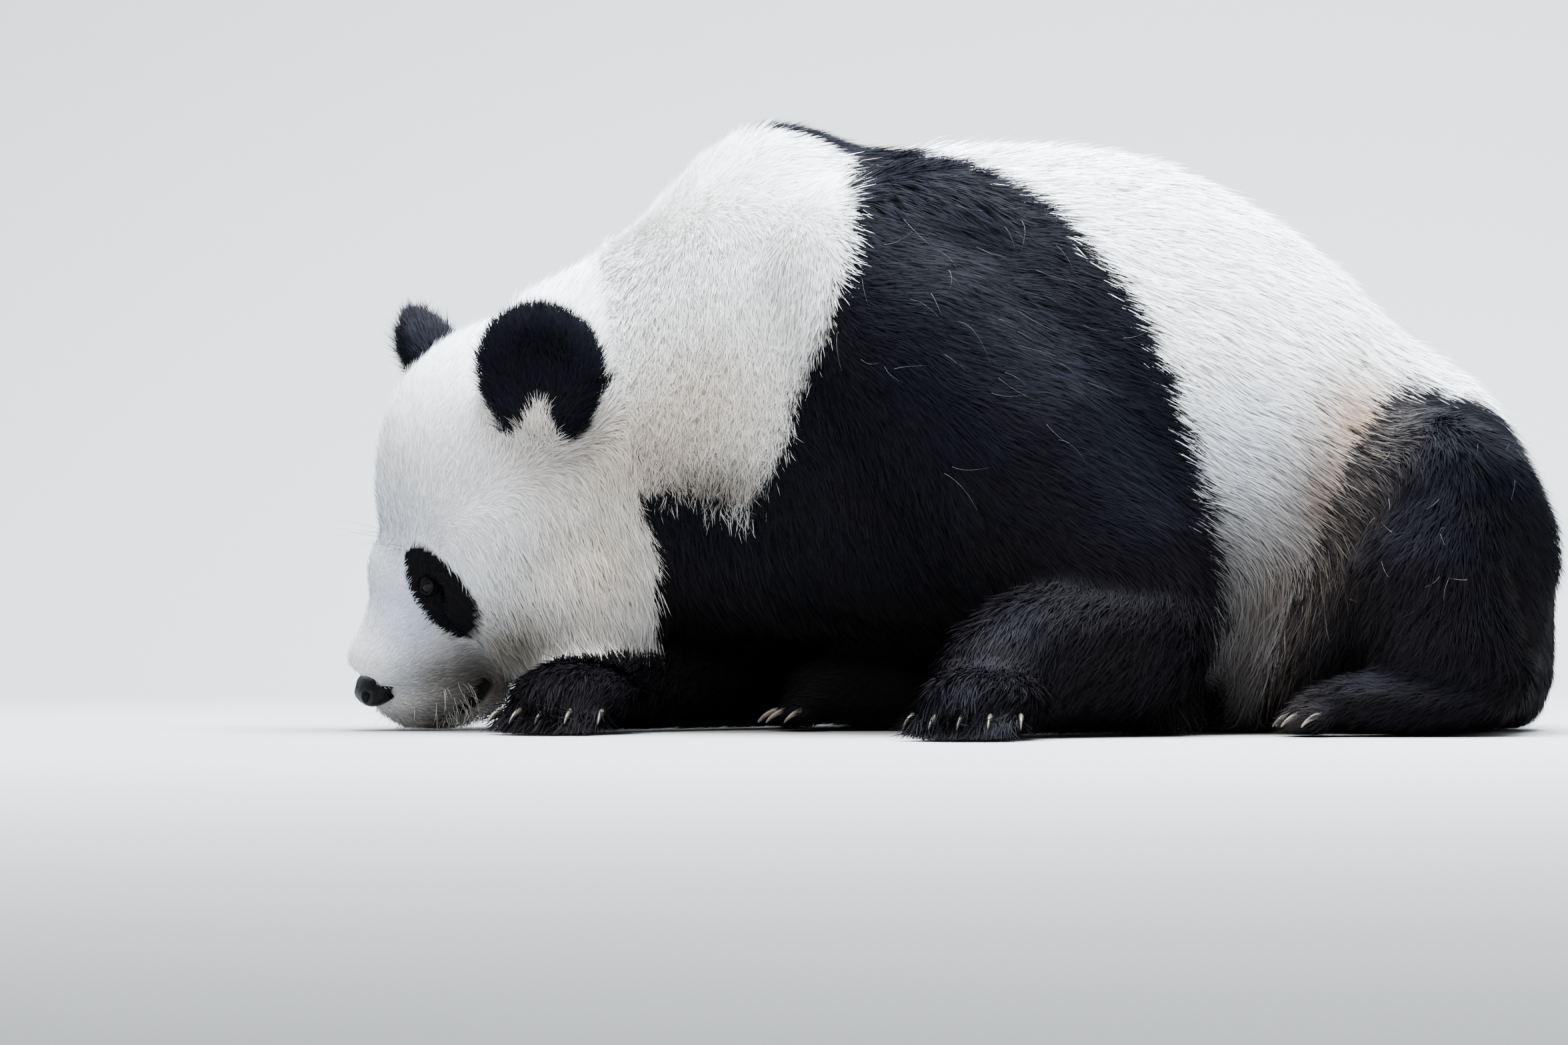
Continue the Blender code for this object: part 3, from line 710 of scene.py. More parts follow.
@dataclass(frozen=True)
class CoatColours:
    """Colours of the white and black hair, from its root to its tip."""

    # The roots are painted darker than the tips: painted shade deep in the coat, between the hairs.
    white_root: Triple = (0.62, 0.595, 0.565)
    # The white tips are faintly blue: the painted cool cast of the sky's light.
    white_tip: Triple = (0.925, 0.945, 0.97)
    black_root: Triple = (0.0022, 0.0022, 0.0027)
    # The black tips are lighter and bluer than the roots: a painted bluish sheen.
    black_tip: Triple = (0.0066, 0.0071, 0.0106)
    brown_tip: Triple = (0.0110, 0.0085, 0.0085)
    hip_tip: Triple = (0.14, 0.115, 0.095)
    # The skin under the white coat is darker than the hair: its own grey, with painted shade under
    # the coat.
    skin_white: Triple = (0.66, 0.63, 0.60)
    skin_black: Triple = (0.0035, 0.0035, 0.0040)
    lip: Triple = (0.008, 0.007, 0.008)
    stain_edge: float = 1.1  # the higher, the sooner a tint ends, stain and painted shade alike
    # Tints, stains and painted shade alike, go deeper into the roots of the hair than into its
    # tips.
    root_depth: float = 1.35
    tip_depth: float = 0.80
    # Brown of the black coat, toward the floor and in soft patches.
    low_brown: float = 0.55
    low_heights: Pair = (0.10, 0.30)
    mottled_brown: float = 0.25
    mottle_size: float = 0.12

    def stained(
        self, base: np.ndarray, flat: np.ndarray, marks: Markings, deep: float = 1.0
    ) -> np.ndarray:
        """White hair with the tints laid over it: stains, painted shade and painted skylight.

        Args:
            base: Rows of colour.
            flat: Rows of along and height, from the side.
            marks: The markings, which hold the stains.
            deep: How deep the tints are.
        Returns:
            Rows of colour.
        """
        colour = base.copy()
        for tint in marks.tints:
            away = (flat - np.array(tint.at)) / np.array(tint.reach)
            near = np.exp(-self.stain_edge * np.sum(away**2, axis=1))
            share = tint.strength * near[:, None]
            colour = colour * (1 - share) + colour * np.array(tint.colour) ** deep * share
        return colour


MARKS = Markings()
COLOURS = CoatColours()


# Finishes


def shader_of(name: str) -> tuple[bpy.types.Material, bpy.types.Node, bpy.types.NodeTree]:
    """Makes a material and returns it, its shader and its node tree."""
    material = bpy.data.materials.new(name)
    material.use_nodes = True
    tree = material.node_tree
    return material, tree.nodes["Principled BSDF"], tree


def painted_shader_of(name: str) -> tuple[bpy.types.Material, bpy.types.Node, bpy.types.NodeTree]:
    """The same as shader_of, with the colours that are painted on the mesh."""
    material, shader, tree = shader_of(name)
    colour = tree.nodes.new("ShaderNodeAttribute")
    colour.attribute_name = COAT_COLOUR
    tree.links.new(colour.outputs["Color"], shader.inputs["Base Color"])
    return material, shader, tree


def set_inputs(node: bpy.types.Node, **values: float | tuple[float, ...]) -> None:
    """Sets inputs of a node; an underscore stands for the space in an input's name."""
    for name, value in values.items():
        node.inputs[name.replace("_", " ")].default_value = value


def ramp_between(
    tree: bpy.types.NodeTree, stops: Pair, colours: tuple[Triple, Triple]
) -> bpy.types.Node:
    """Makes a ramp that feeds the shader's colour.

    Args:
        tree: The material's nodes.
        stops: Where the ramp begins and ends.
        colours: Its colours there.
    Returns:
        The ramp, to be fed.
    """
    ramp = tree.nodes.new("ShaderNodeValToRGB")
    for element, stop, colour in zip(ramp.color_ramp.elements, stops, colours):
        element.position = stop
        element.color = (*colour, 1.0)
    tree.links.new(ramp.outputs["Color"], tree.nodes["Principled BSDF"].inputs["Base Color"])
    return ramp


def relief_from(
    tree: bpy.types.NodeTree, height: bpy.types.NodeSocket, depth: float, strength: float
) -> bpy.types.Node:
    """Makes a relief that feeds the shader's normal.

    Args:
        tree: The material's nodes.
        height: What raises the relief.
        depth: Its depth in metres.
        strength: Its strength.
    Returns:
        The relief.
    """
    bump = tree.nodes.new("ShaderNodeBump")
    set_inputs(bump, Distance=depth, Strength=strength)
    tree.links.new(height, bump.inputs["Height"])
    tree.links.new(bump.outputs["Normal"], tree.nodes["Principled BSDF"].inputs["Normal"])
    return bump


def pattern_of(tree: bpy.types.NodeTree, kind: str, **values: float) -> bpy.types.Node:
    """Makes a pattern that keeps its place on the object.

    Args:
        tree: The material's nodes.
        kind: Blender's name of the pattern.
        values: Its inputs.
    Returns:
        The pattern.
    """
    place = tree.nodes.new("ShaderNodeTexCoord")
    pattern = tree.nodes.new(kind)
    set_inputs(pattern, **values)
    tree.links.new(place.outputs["Object"], pattern.inputs["Vector"])
    return pattern


@dataclass(frozen=True)
class HairFinish:
    """Hair whose colour is on the tufts; soft gloss along it and a faint sheen."""

    name: str
    roughness: float
    specular: float
    sheen: float
    sheen_tint: Triple
    sheen_roughness: float = 0.45

    def material(self) -> bpy.types.Material:
        """Makes the hair's material."""
        material, shader, _ = painted_shader_of(self.name)
        set_inputs(
            shader,
            Roughness=self.roughness,
            Specular_IOR_Level=self.specular,
            Sheen_Weight=self.sheen,
            Sheen_Roughness=self.sheen_roughness,
            Sheen_Tint=(*self.sheen_tint, 1.0),
        )
        return material


@dataclass(frozen=True)
class SkinFinish:
    """Skin and underfur: the same markings, with a fine felted relief."""

    name: str = "skin and underfur"
    grain: float = 260.0
    detail: float = 4.0
    relief: float = 0.0012
    relief_strength: float = 0.7
    roughness: float = 0.85
    specular: float = 0.05

    def material(self) -> bpy.types.Material:
        """Makes the skin's material."""
        material, shader, tree = painted_shader_of(self.name)
        noise = pattern_of(tree, "ShaderNodeTexNoise", Scale=self.grain, Detail=self.detail)
        relief_from(tree, noise.outputs["Fac"], self.relief, self.relief_strength)
        set_inputs(shader, Roughness=self.roughness, Specular_IOR_Level=self.specular)
        return material


@dataclass(frozen=True)
class WetFinish:
    """A glossy surface with its colour on it, such as an eye."""

    name: str = "eye"
    roughness: float = 0.09
    specular: float = 0.08

    def material(self) -> bpy.types.Material:
        """Makes the glossy material."""
        material, shader, _ = painted_shader_of(self.name)
        set_inputs(shader, Roughness=self.roughness, Specular_IOR_Level=self.specular)
        return material


@dataclass(frozen=True)
class LeatherFinish:
    """Bare pebbled skin of the nose and the eyelids."""

    name: str
    dark: Triple
    light: Triple
    pebble: float
    roughness: float
    relief: float = 0.0005
    relief_strength: float = 0.8
    specular: float = 0.07
    stops: Pair = (0.15, 0.75)

    def material(self) -> bpy.types.Material:
        """Makes the leather's material."""
        material, shader, tree = shader_of(self.name)
        cells = pattern_of(tree, "ShaderNodeTexVoronoi", Scale=self.pebble)
        distance = cells.outputs["Distance"]
        ramp = ramp_between(tree, self.stops, (self.light, self.dark))
        tree.links.new(distance, ramp.inputs["Fac"])
        relief_from(tree, distance, self.relief, self.relief_strength).invert = True
        set_inputs(shader, Roughness=self.roughness, Specular_IOR_Level=self.specular)
        return material


@dataclass(frozen=True)
class HornFinish:
    """Claw horn: pale, with long faint streaks."""

    name: str = "claw horn"
    tone: float = 1.0  # how light the horn is
    dark: Triple = (0.050, 0.040, 0.032)
    pale: Triple = (0.170, 0.142, 0.108)
    stops: Pair = (0.30, 0.55)
    streaks: float = 140.0
    detail: float = 3.0
    roughness: float = 0.34

    def toned(self, colour: Triple) -> Triple:
        """A colour of the horn, as light as this horn is."""
        return tuple(self.tone * part for part in colour)

    def material(self) -> bpy.types.Material:
        """Makes the horn's material."""
        material, shader, tree = shader_of(self.name)
        noise = pattern_of(tree, "ShaderNodeTexNoise", Scale=self.streaks, Detail=self.detail)
        ramp = ramp_between(tree, self.stops, (self.toned(self.dark), self.toned(self.pale)))
        tree.links.new(noise.outputs["Fac"], ramp.inputs["Fac"])
        set_inputs(shader, Roughness=self.roughness)
        return material


@dataclass(frozen=True)
class FloorFinish:
    """Plain pale paper of the studio floor and backdrop."""

    name: str = "studio paper"
    colour: Triple = (0.30, 0.30, 0.298)
    roughness: float = 0.9

    def material(self) -> bpy.types.Material:
        """Makes the paper's material."""
        material, shader, _ = shader_of(self.name)
        set_inputs(shader, Base_Color=(*self.colour, 1.0), Roughness=self.roughness)
        return material


WHITE_HAIR = HairFinish("white hair", 0.62, 0.20, 0.15, (0.94, 0.96, 1.0))
BLACK_HAIR = HairFinish("black hair", 0.50, 0.012, 0.0, (0.55, 0.66, 1.0))
NOSE_LEATHER = LeatherFinish(
    "nose leather", dark=(0.0012, 0.0012, 0.0016), light=(0.005, 0.005, 0.006), pebble=900.0,
    roughness=0.38,
)
LID_SKIN = LeatherFinish(
    "lid skin", dark=(0.0015, 0.0014, 0.0016), light=(0.004, 0.0036, 0.004), pebble=1400.0,
    roughness=0.45, relief=0.0002,
)


class CoatKind(Enum):
    """The two coats, each with its finish; their names are those of their slots too."""

    WHITE = WHITE_HAIR
    BLACK = BLACK_HAIR


def paint(thing: bpy.types.Object, colours: np.ndarray) -> None:
    """Puts one colour on each corner of a mesh.

    Args:
        thing: The mesh object.
        colours: Rows of red, green and blue.
    """
    layer = thing.data.color_attributes.new(COAT_COLOUR, "FLOAT_COLOR", "POINT")
    full = np.concatenate((colours, np.ones((len(colours), 1))), axis=1)
    layer.data.foreach_set("color", full.astype(np.float32).ravel())


def finish_piece(
    thing: bpy.types.Object, material: bpy.types.Material, slot: Slot, *nodes: str
) -> None:
    """Dresses a piece, sets what it stands for, and lets it ride with the body.

    Args:
        thing: The piece.
        material: Its finish.
        slot: The record's slot of that finish; not used.
        nodes: CAD nodes that the piece replaces.
    """
    thing.data.materials.clear()
    thing.data.materials.append(material)
    if nodes:
        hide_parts(*nodes)
    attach(thing, ROOT_BODY)
    thing.data.calc_loop_triangles()
    LOG.info("%s: %d triangles", thing.name, len(thing.data.loop_triangles))


# The skin


@dataclass(frozen=True)
class EyePlace:
    """One eye: its CAD node, its centre, its radius and the way it looks."""

    node: str
    side: float
    look: Triple = (0.70, 0.70, 0.06)

    def name(self) -> str:
        """Which eye it is: left or right."""
        return "left" if self.side > 0 else "right"

    def centre(self) -> np.ndarray:
        """Middle of the eye's CAD node."""
        low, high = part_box(self.node)
        return middle_of(low, high)

    def radius(self) -> float:
        """Radius of the eyeball."""
        low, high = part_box(self.node)
        return float(min(high - low) / 2)

    def way(self) -> np.ndarray:
        """The way the eye looks, in the row's axes."""
        forward, left, up = self.look
        return unit(HEAD.way(np.array((forward, left * self.side, up))))

    def ahead(self, points: np.ndarray) -> np.ndarray:
        """How far each point is ahead of the eye's centre, along its look."""
        return (points - self.centre()) @ self.way()

    def beside(self, points: np.ndarray) -> np.ndarray:
        """Distance of each point from the line along which the eye looks."""
        out = points - self.centre()
        return np.linalg.norm(out - self.ahead(points)[:, None] * self.way(), axis=1)


EYES = (EyePlace("eye_left", 1.0), EyePlace("eye_right", -1.0))
EYE_HOLLOW = 0.03  # no skin or hair is changed for an eye further away than this


@dataclass(frozen=True)
class MouthLine:
    """Line between the lips: forward, left and up from the head's centre, on the left side."""

    points: tuple[Triple, ...] = (
        (0.107, 0.0490, -0.094), (0.120, 0.0480, -0.101), (0.139, 0.0400, -0.105),
        (0.160, 0.0260, -0.104), (0.178, 0.0100, -0.097), (0.183, 0.0000, -0.095),
    )
    philtrum: tuple[Triple, ...] = (
        (0.183, 0.0, -0.095), (0.196, 0.0, -0.066), (0.206, 0.0, -0.052),
    )

    def reach(self, inside: np.ndarray) -> np.ndarray:
        """Half height of the bare dark lips: largest at the corner of the mouth."""
        return 0.0024 + 0.0052 * smooth_fall(0.122, 0.162, inside[:, 0])

    def away(self, inside: np.ndarray) -> np.ndarray:
        """Distance of each point from the line of the lips, both sides.

        Args:
            inside: Places in the head's axes.
        Returns:
            One distance for each point.
        """
        squeeze = np.array((1.0, 0.3, 1.0))
        folded = inside * squeeze
        folded[:, 1] = np.abs(folded[:, 1])
        line = tuple(tuple(np.array(point) * squeeze) for point in self.points)
        return line_distance(folded, line)


@dataclass(frozen=True)
class NosePlace:
    """Middle and radii of the nose pad, forward, left and up in the head's axes."""

    centre: Triple = (0.1885, 0.0, -0.0508)
    radii: Triple = (0.0250, 0.0345, 0.0142)

    def share(self, inside: np.ndarray) -> np.ndarray:
        """How far each place is from the pad's middle, 1 at its surface."""
        return np.linalg.norm((inside - np.array(self.centre)) / np.array(self.radii), axis=1)


@dataclass(frozen=True)
class Bulge:
    """Fullness of a lip, the chin or the brow: its middle, reach and push, in the head's axes."""

    middle: Triple
    reach: float
    way: Triple


MOUTH = MouthLine()
NOSE = NosePlace()
BULGES = (
    Bulge((0.184, 0.012, -0.080), 0.026, (0.0060, 0.0, -0.0130)),
    Bulge((0.102, 0.000, 0.088), 0.034, (0.0090, 0.0, 0.0020)),
    Bulge((0.107, 0.000, 0.044), 0.028, (0.0090, 0.0, 0.0062)),
    Bulge((0.155, 0.020, -0.110), 0.030, (0.0010, 0.0, -0.0065)),
    Bulge((0.115, 0.042, -0.108), 0.030, (-0.0010, 0.0030, -0.0115)),
)


@dataclass
class Fields:
    """What the coat needs to know at each corner of the skin."""

    regions: np.ndarray
    lengths: np.ndarray
    lifts: np.ndarray
    flows: np.ndarray
    thickness: np.ndarray
    stray: np.ndarray

    def change(
        self,
        share: np.ndarray,
        length: float = 0.0,
        lift: float = 0.0,
        stray: float = 0.0,
        way: Triple = (0.0, 0.0, 0.0),
        turn: float = 0.0,
    ) -> None:
        """Changes the lie of the coat where the share is above 0.

        Args:
            share: One share for each corner.
            length: What the length gains.
            lift: What the lift gains, in degrees.
            stray: What the stray gains.
            way: A way to turn the flow toward.
            turn: How far to turn it.
        """
        self.lengths = self.lengths + length * share
        self.lifts = self.lifts + math.radians(lift) * share
        self.stray = self.stray + stray * share
        self.flows = blend(self.flows, way, turn * share)


def planned_fields(regions: np.ndarray) -> Fields:
    """The plain plan of each corner's region.

    Args:
        regions: Region index of each corner.
    Returns:
        The fields, to be shaped within the parts.
    """
    plans = REGIONS.values()
    return Fields(
        regions,
        np.array([plan.length for plan in plans])[regions],
        np.radians([plan.lift for plan in plans])[regions],
        unit(np.array([plan.flow for plan in plans]))[regions],
        np.array([plan.thickness for plan in plans])[regions],
        np.array([plan.stray for plan in plans])[regions],
    )


def head_lengths(inside: np.ndarray) -> np.ndarray:
    """Hair length over the head: very short on the muzzle, longest on the cheeks.

    Args:
        inside: Places in the head's axes.
    Returns:
        One length for each place.
    """
    forward, left, up = inside[:, 0], np.abs(inside[:, 1]), inside[:, 2]
    length = 0.0080 + 0.0055 * smooth_fall(0.060, 0.150, forward)
    cheek = smooth_fall(-0.02, 0.085, up) * smooth_fall(0.035, 0.100, forward)
    length += 0.012 * cheek * smooth_step(0.02, 0.09, left)
    nape = smooth_fall(-0.13, -0.01, forward)
    length += 0.006 * nape * (1.0 - cheek)
    chin = smooth_fall(-0.108, -0.090, up) * smooth_step(0.06, 0.10, forward)
    return length + 0.008 * chin


def head_flow(inside: np.ndarray) -> np.ndarray:
    """The way the hair lies over the head, in the row's axes.

    Args:
        inside: Places in the head's axes.
    Returns:
        Rows of ways.
    """
    forward, left, up = inside[:, 0], inside[:, 1], inside[:, 2]
    side = np.sign(left) * smooth_step(0.0, 0.03, np.abs(left))

    def head_ways(ahead: float, apart: float, upward: float) -> np.ndarray:
        """Ways given forward, outward and up in the head's axes, as row ways."""
        ones = np.ones(len(inside))
        return HEAD.way(np.stack((ahead * ones, apart * side, upward * ones), axis=1))

    crown = unit(head_ways(-1.0, 0.25, 0.85))
    cheek = np.array((0.34, 0.0, -0.94)) + head_ways(0.0, 0.20, 0.0)
    muzzle = unit(head_ways(-1.0, 0.45, 0.15))
    lip = unit(head_ways(-0.85, 0.20, -0.60))
    flank = smooth_step(0.045, 0.100, np.abs(left)) * smooth_fall(0.05, 0.12, up)
    ways = blend(crown, cheek, np.maximum(flank, smooth_fall(-0.03, 0.03, up)))
    lip = blend(lip, (-0.10, 0.0, -1.0), smooth_fall(-0.112, -0.098, up))
    muzzle = blend(muzzle, lip, smooth_fall(-0.085, -0.045, up))
    return unit(blend(ways, muzzle, smooth_step(0.075, 0.120, forward)))


def body_flow(own: np.ndarray, names: np.ndarray, flows: np.ndarray) -> np.ndarray:
    """Bends the flow where it turns within a part: low flank, haunch, shoulder and nape.

    Args:
        own: Places from the panda's own middle.
        names: Region name of each place.
        flows: Rows of ways.
    Returns:
        The changed ways.
    """
    along, height = own[:, 0], own[:, 2]
    low = smooth_fall(0.13, 0.22, height) * smooth_step(0.20, 0.28, along)
    haunch = np.isin(names, HAUNCH_NAMES)
    shoulder = np.isin(names, ("shoulder_left", "shoulder_right", "chest"))
    fore = smooth_fall(-0.10, 0.06, along) * smooth_fall(0.22, 0.36, height)
    for share, way in (
        (low * np.isin(names, TRUNK_NAMES), (-0.38, 0.0, -0.92)),
        (haunch * smooth_fall(0.40, 0.50, along), (-0.50, -0.05, -0.86)),
        (haunch * smooth_step(0.48, 0.56, along), (0.36, -0.05, -0.93)),
        (shoulder * fore, (0.22, 0.0, -0.97)),
        (shoulder * smooth_fall(0.10, 0.22, height) * 0.6, (0.30, -0.05, -0.95)),
        ((names == "neck") * smooth_step(0.44, 0.54, height), (0.95, 0.0, -0.30)),
    ):
        flows = blend(flows, way, share)
    return flows


def shape_body(fields: Fields, own: np.ndarray, names: np.ndarray) -> None:
    """Changes the lie of the coat within the parts of the body.

    Args:
        fields: The fields, which are changed.
        own: Places from the panda's own middle.
        names: Region name of each place.
    """
    along, height = own[:, 0], own[:, 2]
    trunk = np.isin(names, TRUNK_NAMES)
    fields.change(
        (names == "neck") * smooth_fall(0.30, 0.44, height), length=-0.002, lift=18, stray=0.28
    )
    hanging = smooth_step(0.13, 0.22, along) * smooth_fall(0.36, 0.44, along)
    hanging *= smooth_fall(0.10, 0.24, height)
    fields.change(hanging * trunk, length=0.026)
    fields.change(hanging, stray=0.10)
    fields.change((height < 0.24) & (names == "chest"), length=0.010)
    rear = np.isin(names, HAUNCH_NAMES) * smooth_step(0.48, 0.55, along)
    fields.change(rear, lift=14, stray=0.12)
    below = smooth_step(0.13, 0.17, along) * smooth_fall(0.26, 0.32, along)
    below = below * smooth_fall(0.05, 0.09, height) * trunk
    fields.change(below, length=0.018, lift=34)
    seat = (names == "tail") | ((names == "rump") & (along > 0.52) & (height < 0.24))
    fields.lengths[seat] = 0.014
    fields.lifts[seat] = math.radians(16)


def shape_forepaws(fields: Fields, points: np.ndarray, names: np.ndarray) -> None:
    """Lets the hair hang over the toes, and lie flat over the wrists.

    Args:
        fields: The fields, which are changed.
        points: Corner places.
        names: Region name of each place.
    """
    for foot in FOREPAWS:
        low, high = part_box(f"claw_{foot}_3")
        from_toes = away_from(points, middle_of(low, high))
        toes = (names == foot) * smooth_fall(0.035, 0.080, from_toes)
        fields.change(toes, length=0.021, lift=-8, way=(0.0, -0.34, -0.94), turn=0.8)
        wrist = smooth_fall(0.050, 0.105, away_from(points, wrist_of(foot)))
        wrist *= np.isin(names, (foot, foot.replace("forepaw", "foreleg")))
        fields.change(
            wrist, length=0.003, lift=-9, stray=-0.10, way=(-0.15, -0.85, -0.50), turn=0.7
        )


def wrist_of(foot: str) -> np.ndarray:
    """Place of the wrist over a forepaw, inside the paw's own box."""
    low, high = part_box(foot)
    return np.array(((low[0] + high[0]) / 2, high[1] - 0.050, high[2] * 0.6))


@dataclass
class Skin:
    """One skin under the coat, from the flesh solids, with lips and beds for the nostrils and the
    eyes.
    """

    voxel: float = 0.0063
    swell: float = 0.0008
    smooth_factor: float = 0.5
    smooth_steps: int = 12
    restore_steps: int = 5
    wrist_steps: int = 30
    depth_share: float = 0.36
    jaw_depth: float = 0.001
    ear_depth: float = 0.004
    tail_depth: float = 0.012  # over and above the coat's own depth
    depth_steps: int = 8
    normal_steps: int = 3
    relax_share: float = 0.6
    relax_steps: int = 14
    ear_root: float = 0.088  # from the middle of an ear down to the root of its hair
    ear_near: float = 1.7
    ear_turn: float = 0.85
    eye_near: Pair = (0.012, 0.030)
    refine: tuple[Pair, ...] = ((0.052, 0.040), (0.026, 0.014))
    lip_edge: Pair = (0.8, 1.5)
    groove_depth: float = 0.0065
    groove_width: float = 1.4  # in half heights of the lips
    philtrum_depth: float = 0.0016
    philtrum_width: float = 0.0026
    nose_bed: float = 0.42
    nose_edge: float = 0.95
    nose_ease: float = 0.22
    eye_bed: float = 0.8
    floor: float = 0.004
    thing: bpy.types.Object | None = None
    fields: Fields | None = None

    def build(self) -> bpy.types.Object:
        """Grows the skin and works out the lie of the coat on it.

        Returns:
            The skin, not yet dressed.
        """
        flesh, labels, tree = self.flesh_copy()
        self.thing = flesh
        remesh = flesh.modifiers.new("Remesh", "REMESH")
        remesh.mode = "VOXEL"
        remesh.voxel_size = self.voxel
        smooth = flesh.modifiers.new("Smooth", "SMOOTH")
        smooth.factor = self.smooth_factor
        smooth.iterations = self.smooth_steps
        apply_modifiers(flesh)
        self.keep_largest()
        points = corners_of(flesh)
        back = np.array([tree.find_nearest(Vector(point))[0][:] for point in points]) - points
        place_corners(flesh, points + self.relax(back, self.restore_steps))
        self.soften_wrists()
        self.refine_face()
        points = corners_of(flesh)
        regions = np.array([labels[tree.find_nearest(Vector(point))[2]] for point in points])
        self.fields = self.lay_of_coat(points, regions)
        self.push_in(points)
        self.shape_face()
        self.unwrap()
        return flesh

    def soften_wrists(self) -> None:
        """Rounds the step between each forepaw and its foreleg."""
        points = corners_of(self.thing)
        soft = self.relax(points, self.wrist_steps)
        for foot in FOREPAWS:
            near = smooth_fall(0.050, 0.090, away_from(points, wrist_of(foot)))
            points = blend(points, soft, near)
        place_corners(self.thing, points)

    def flesh_copy(self) -> tuple[bpy.types.Object, np.ndarray, BVHTree]:
        """Joins copies of the flesh solids, each swollen a little so that they overlap.

        Returns:
            The joined copy, the region of each of its first triangles, and a tree of them.
        """
        copies, corners, faces, labels = [], [], [], []
        for index, name in enumerate(REGION_NAMES):
            node = bpy.data.objects[name]
            base = len(corners)
            corners += [corner.co.copy() for corner in node.data.vertices]
            faces += [[base + place for place in face.vertices] for face in node.data.polygons]
            labels += [index] * len(node.data.polygons)
            copy = copy_of(name)
            work = bmesh.new()
            work.from_mesh(copy.data)
            bmesh.ops.remove_doubles(work, verts=work.verts, dist=WELD_DISTANCE)
            work.normal_update()
            for corner in work.verts:
                corner.co += corner.normal * self.swell
            work.to_mesh(copy.data)
            work.free()
            copies.append(copy)
        return joined(copies, "skin"), np.array(labels), BVHTree.FromPolygons(corners, faces)

    def keep_largest(self) -> None:
        """Deletes every loose part of the mesh but the largest."""
        work = bmesh.new()
        work.from_mesh(self.thing.data)
        work.verts.ensure_lookup_table()
        seen = np.zeros(len(work.verts), bool)
        parts = []
        for start in work.verts:
            if seen[start.index]:
                continue
            part, front = [], [start]
            seen[start.index] = True
            while front:
                corner = front.pop()
                part.append(corner)
                for edge in corner.link_edges:
                    other = edge.other_vert(corner)
                    if not seen[other.index]:
                        seen[other.index] = True
                        front.append(other)
            parts.append(part)
        parts.sort(key=len)
        stray = [corner for part in parts[:-1] for corner in part]
        bmesh.ops.delete(work, geom=stray, context="VERTS")
        work.to_mesh(self.thing.data)
        work.free()
        LOG.info("skin: %d loose parts removed", len(parts) - 1)

    def refine_face(self) -> None:
        """Subdivides the mesh round the eyes, the lips and the nose, finer where it is nearer."""
        for eye_reach, lip_reach in self.refine:
            points = corners_of(self.thing)
            near = line_distance(self.folded(points), MOUTH.points) < lip_reach
            for eye in EYES:
                near |= away_from(points, eye.centre()) < eye_reach
            with editing(self.thing, "DESELECT"):
                bpy.ops.mesh.select_mode(type="VERT")
            self.thing.data.vertices.foreach_set("select", near)
            bpy.ops.object.mode_set(mode="EDIT")
            bpy.ops.mesh.subdivide(number_cuts=1, smoothness=0.0)
            bpy.ops.object.mode_set(mode="OBJECT")

    def folded(self, points: np.ndarray) -> np.ndarray:
        """Places in the head's axes, with the right half folded onto the left."""
        inside = HEAD.inward(points)
        inside[:, 1] = np.abs(inside[:, 1])
        return inside

    def edges(self) -> np.ndarray:
        """The two corner indices of each edge."""
        return read_rows(self.thing.data.edges, "vertices", 2, np.int32)

    def relax(self, values: np.ndarray, steps: int) -> np.ndarray:
        """Averages values with their neighbours' over the skin.

        Args:
            values: Rows of values, one for each corner.
            steps: How often.
        Returns:
            The smoothed rows.
        """
        edges, count = self.edges(), len(values)
        ends = np.concatenate((edges[:, 0], edges[:, 1]))
        others = np.concatenate((edges[:, 1], edges[:, 0]))
        degree = np.maximum(np.bincount(ends, minlength=count), 1)[:, None]
        result = values.reshape(count, -1).astype(float)
        for _ in range(steps):
            columns = [
                np.bincount(ends, weights=result[others, column], minlength=count)
                for column in range(result.shape[1])
            ]
            mean = np.stack(columns, axis=1) / degree
            result = (1 - self.relax_share) * result + self.relax_share * mean
        return result.reshape(values.shape)

    def lay_of_coat(self, points: np.ndarray, regions: np.ndarray) -> Fields:
        """Length, rise, flow and thickness of the hair at each corner.

        Args:
            points: Corner places.
            regions: Region index of each corner.
        Returns:
            The coat's fields.
        """
        fields, names = planned_fields(regions), names_of(regions)
        inside, own = HEAD.inward(points), points - ROW_SHIFT
        on_head = np.isin(names, HEAD_NAMES)
        fields.lengths[on_head] = head_lengths(inside[on_head])
        fields.flows = body_flow(own, names, fields.flows)
        fields.flows[on_head] = head_flow(inside[on_head])
        shape_body(fields, own, names)
        shape_forepaws(fields, points, names)
        columns = (fields.lengths, fields.lifts, fields.thickness, fields.stray, fields.flows)
        cells = self.relax(np.column_stack(columns), self.relax_steps)
        fields.lengths, fields.lifts, fields.thickness, fields.stray = cells[:, :4].T
        fields.flows = lay_flat(self.face_flow(points, names, cells[:, 4:]), normals_of(self.thing))
        return fields

    def face_flow(self, points: np.ndarray, names: np.ndarray, flows: np.ndarray) -> np.ndarray:
        """Turns the hair away from the roots of the ears and from the eyes.

        Args:
            points: Corner places.
            names: Region name of each corner.
            flows: Rows of ways.
        Returns:
            The changed ways.
        """
        for ear in EARS:
            root = np.array(ear.centre) + ROW_SHIFT - unit(np.array(ear.along)) * self.ear_root
            near = np.linalg.norm(ear.inward(points), axis=1) < self.ear_near
            share = (np.isin(names, EAR_NAMES) & near) * self.ear_turn
            flows = blend(flows, unit(points - root), share)
        for eye in EYES:
            near = smooth_fall(*self.eye_near, away_from(points, eye.centre()))
            flows = blend(unit(flows), unit(points - eye.centre()), near)
        return flows

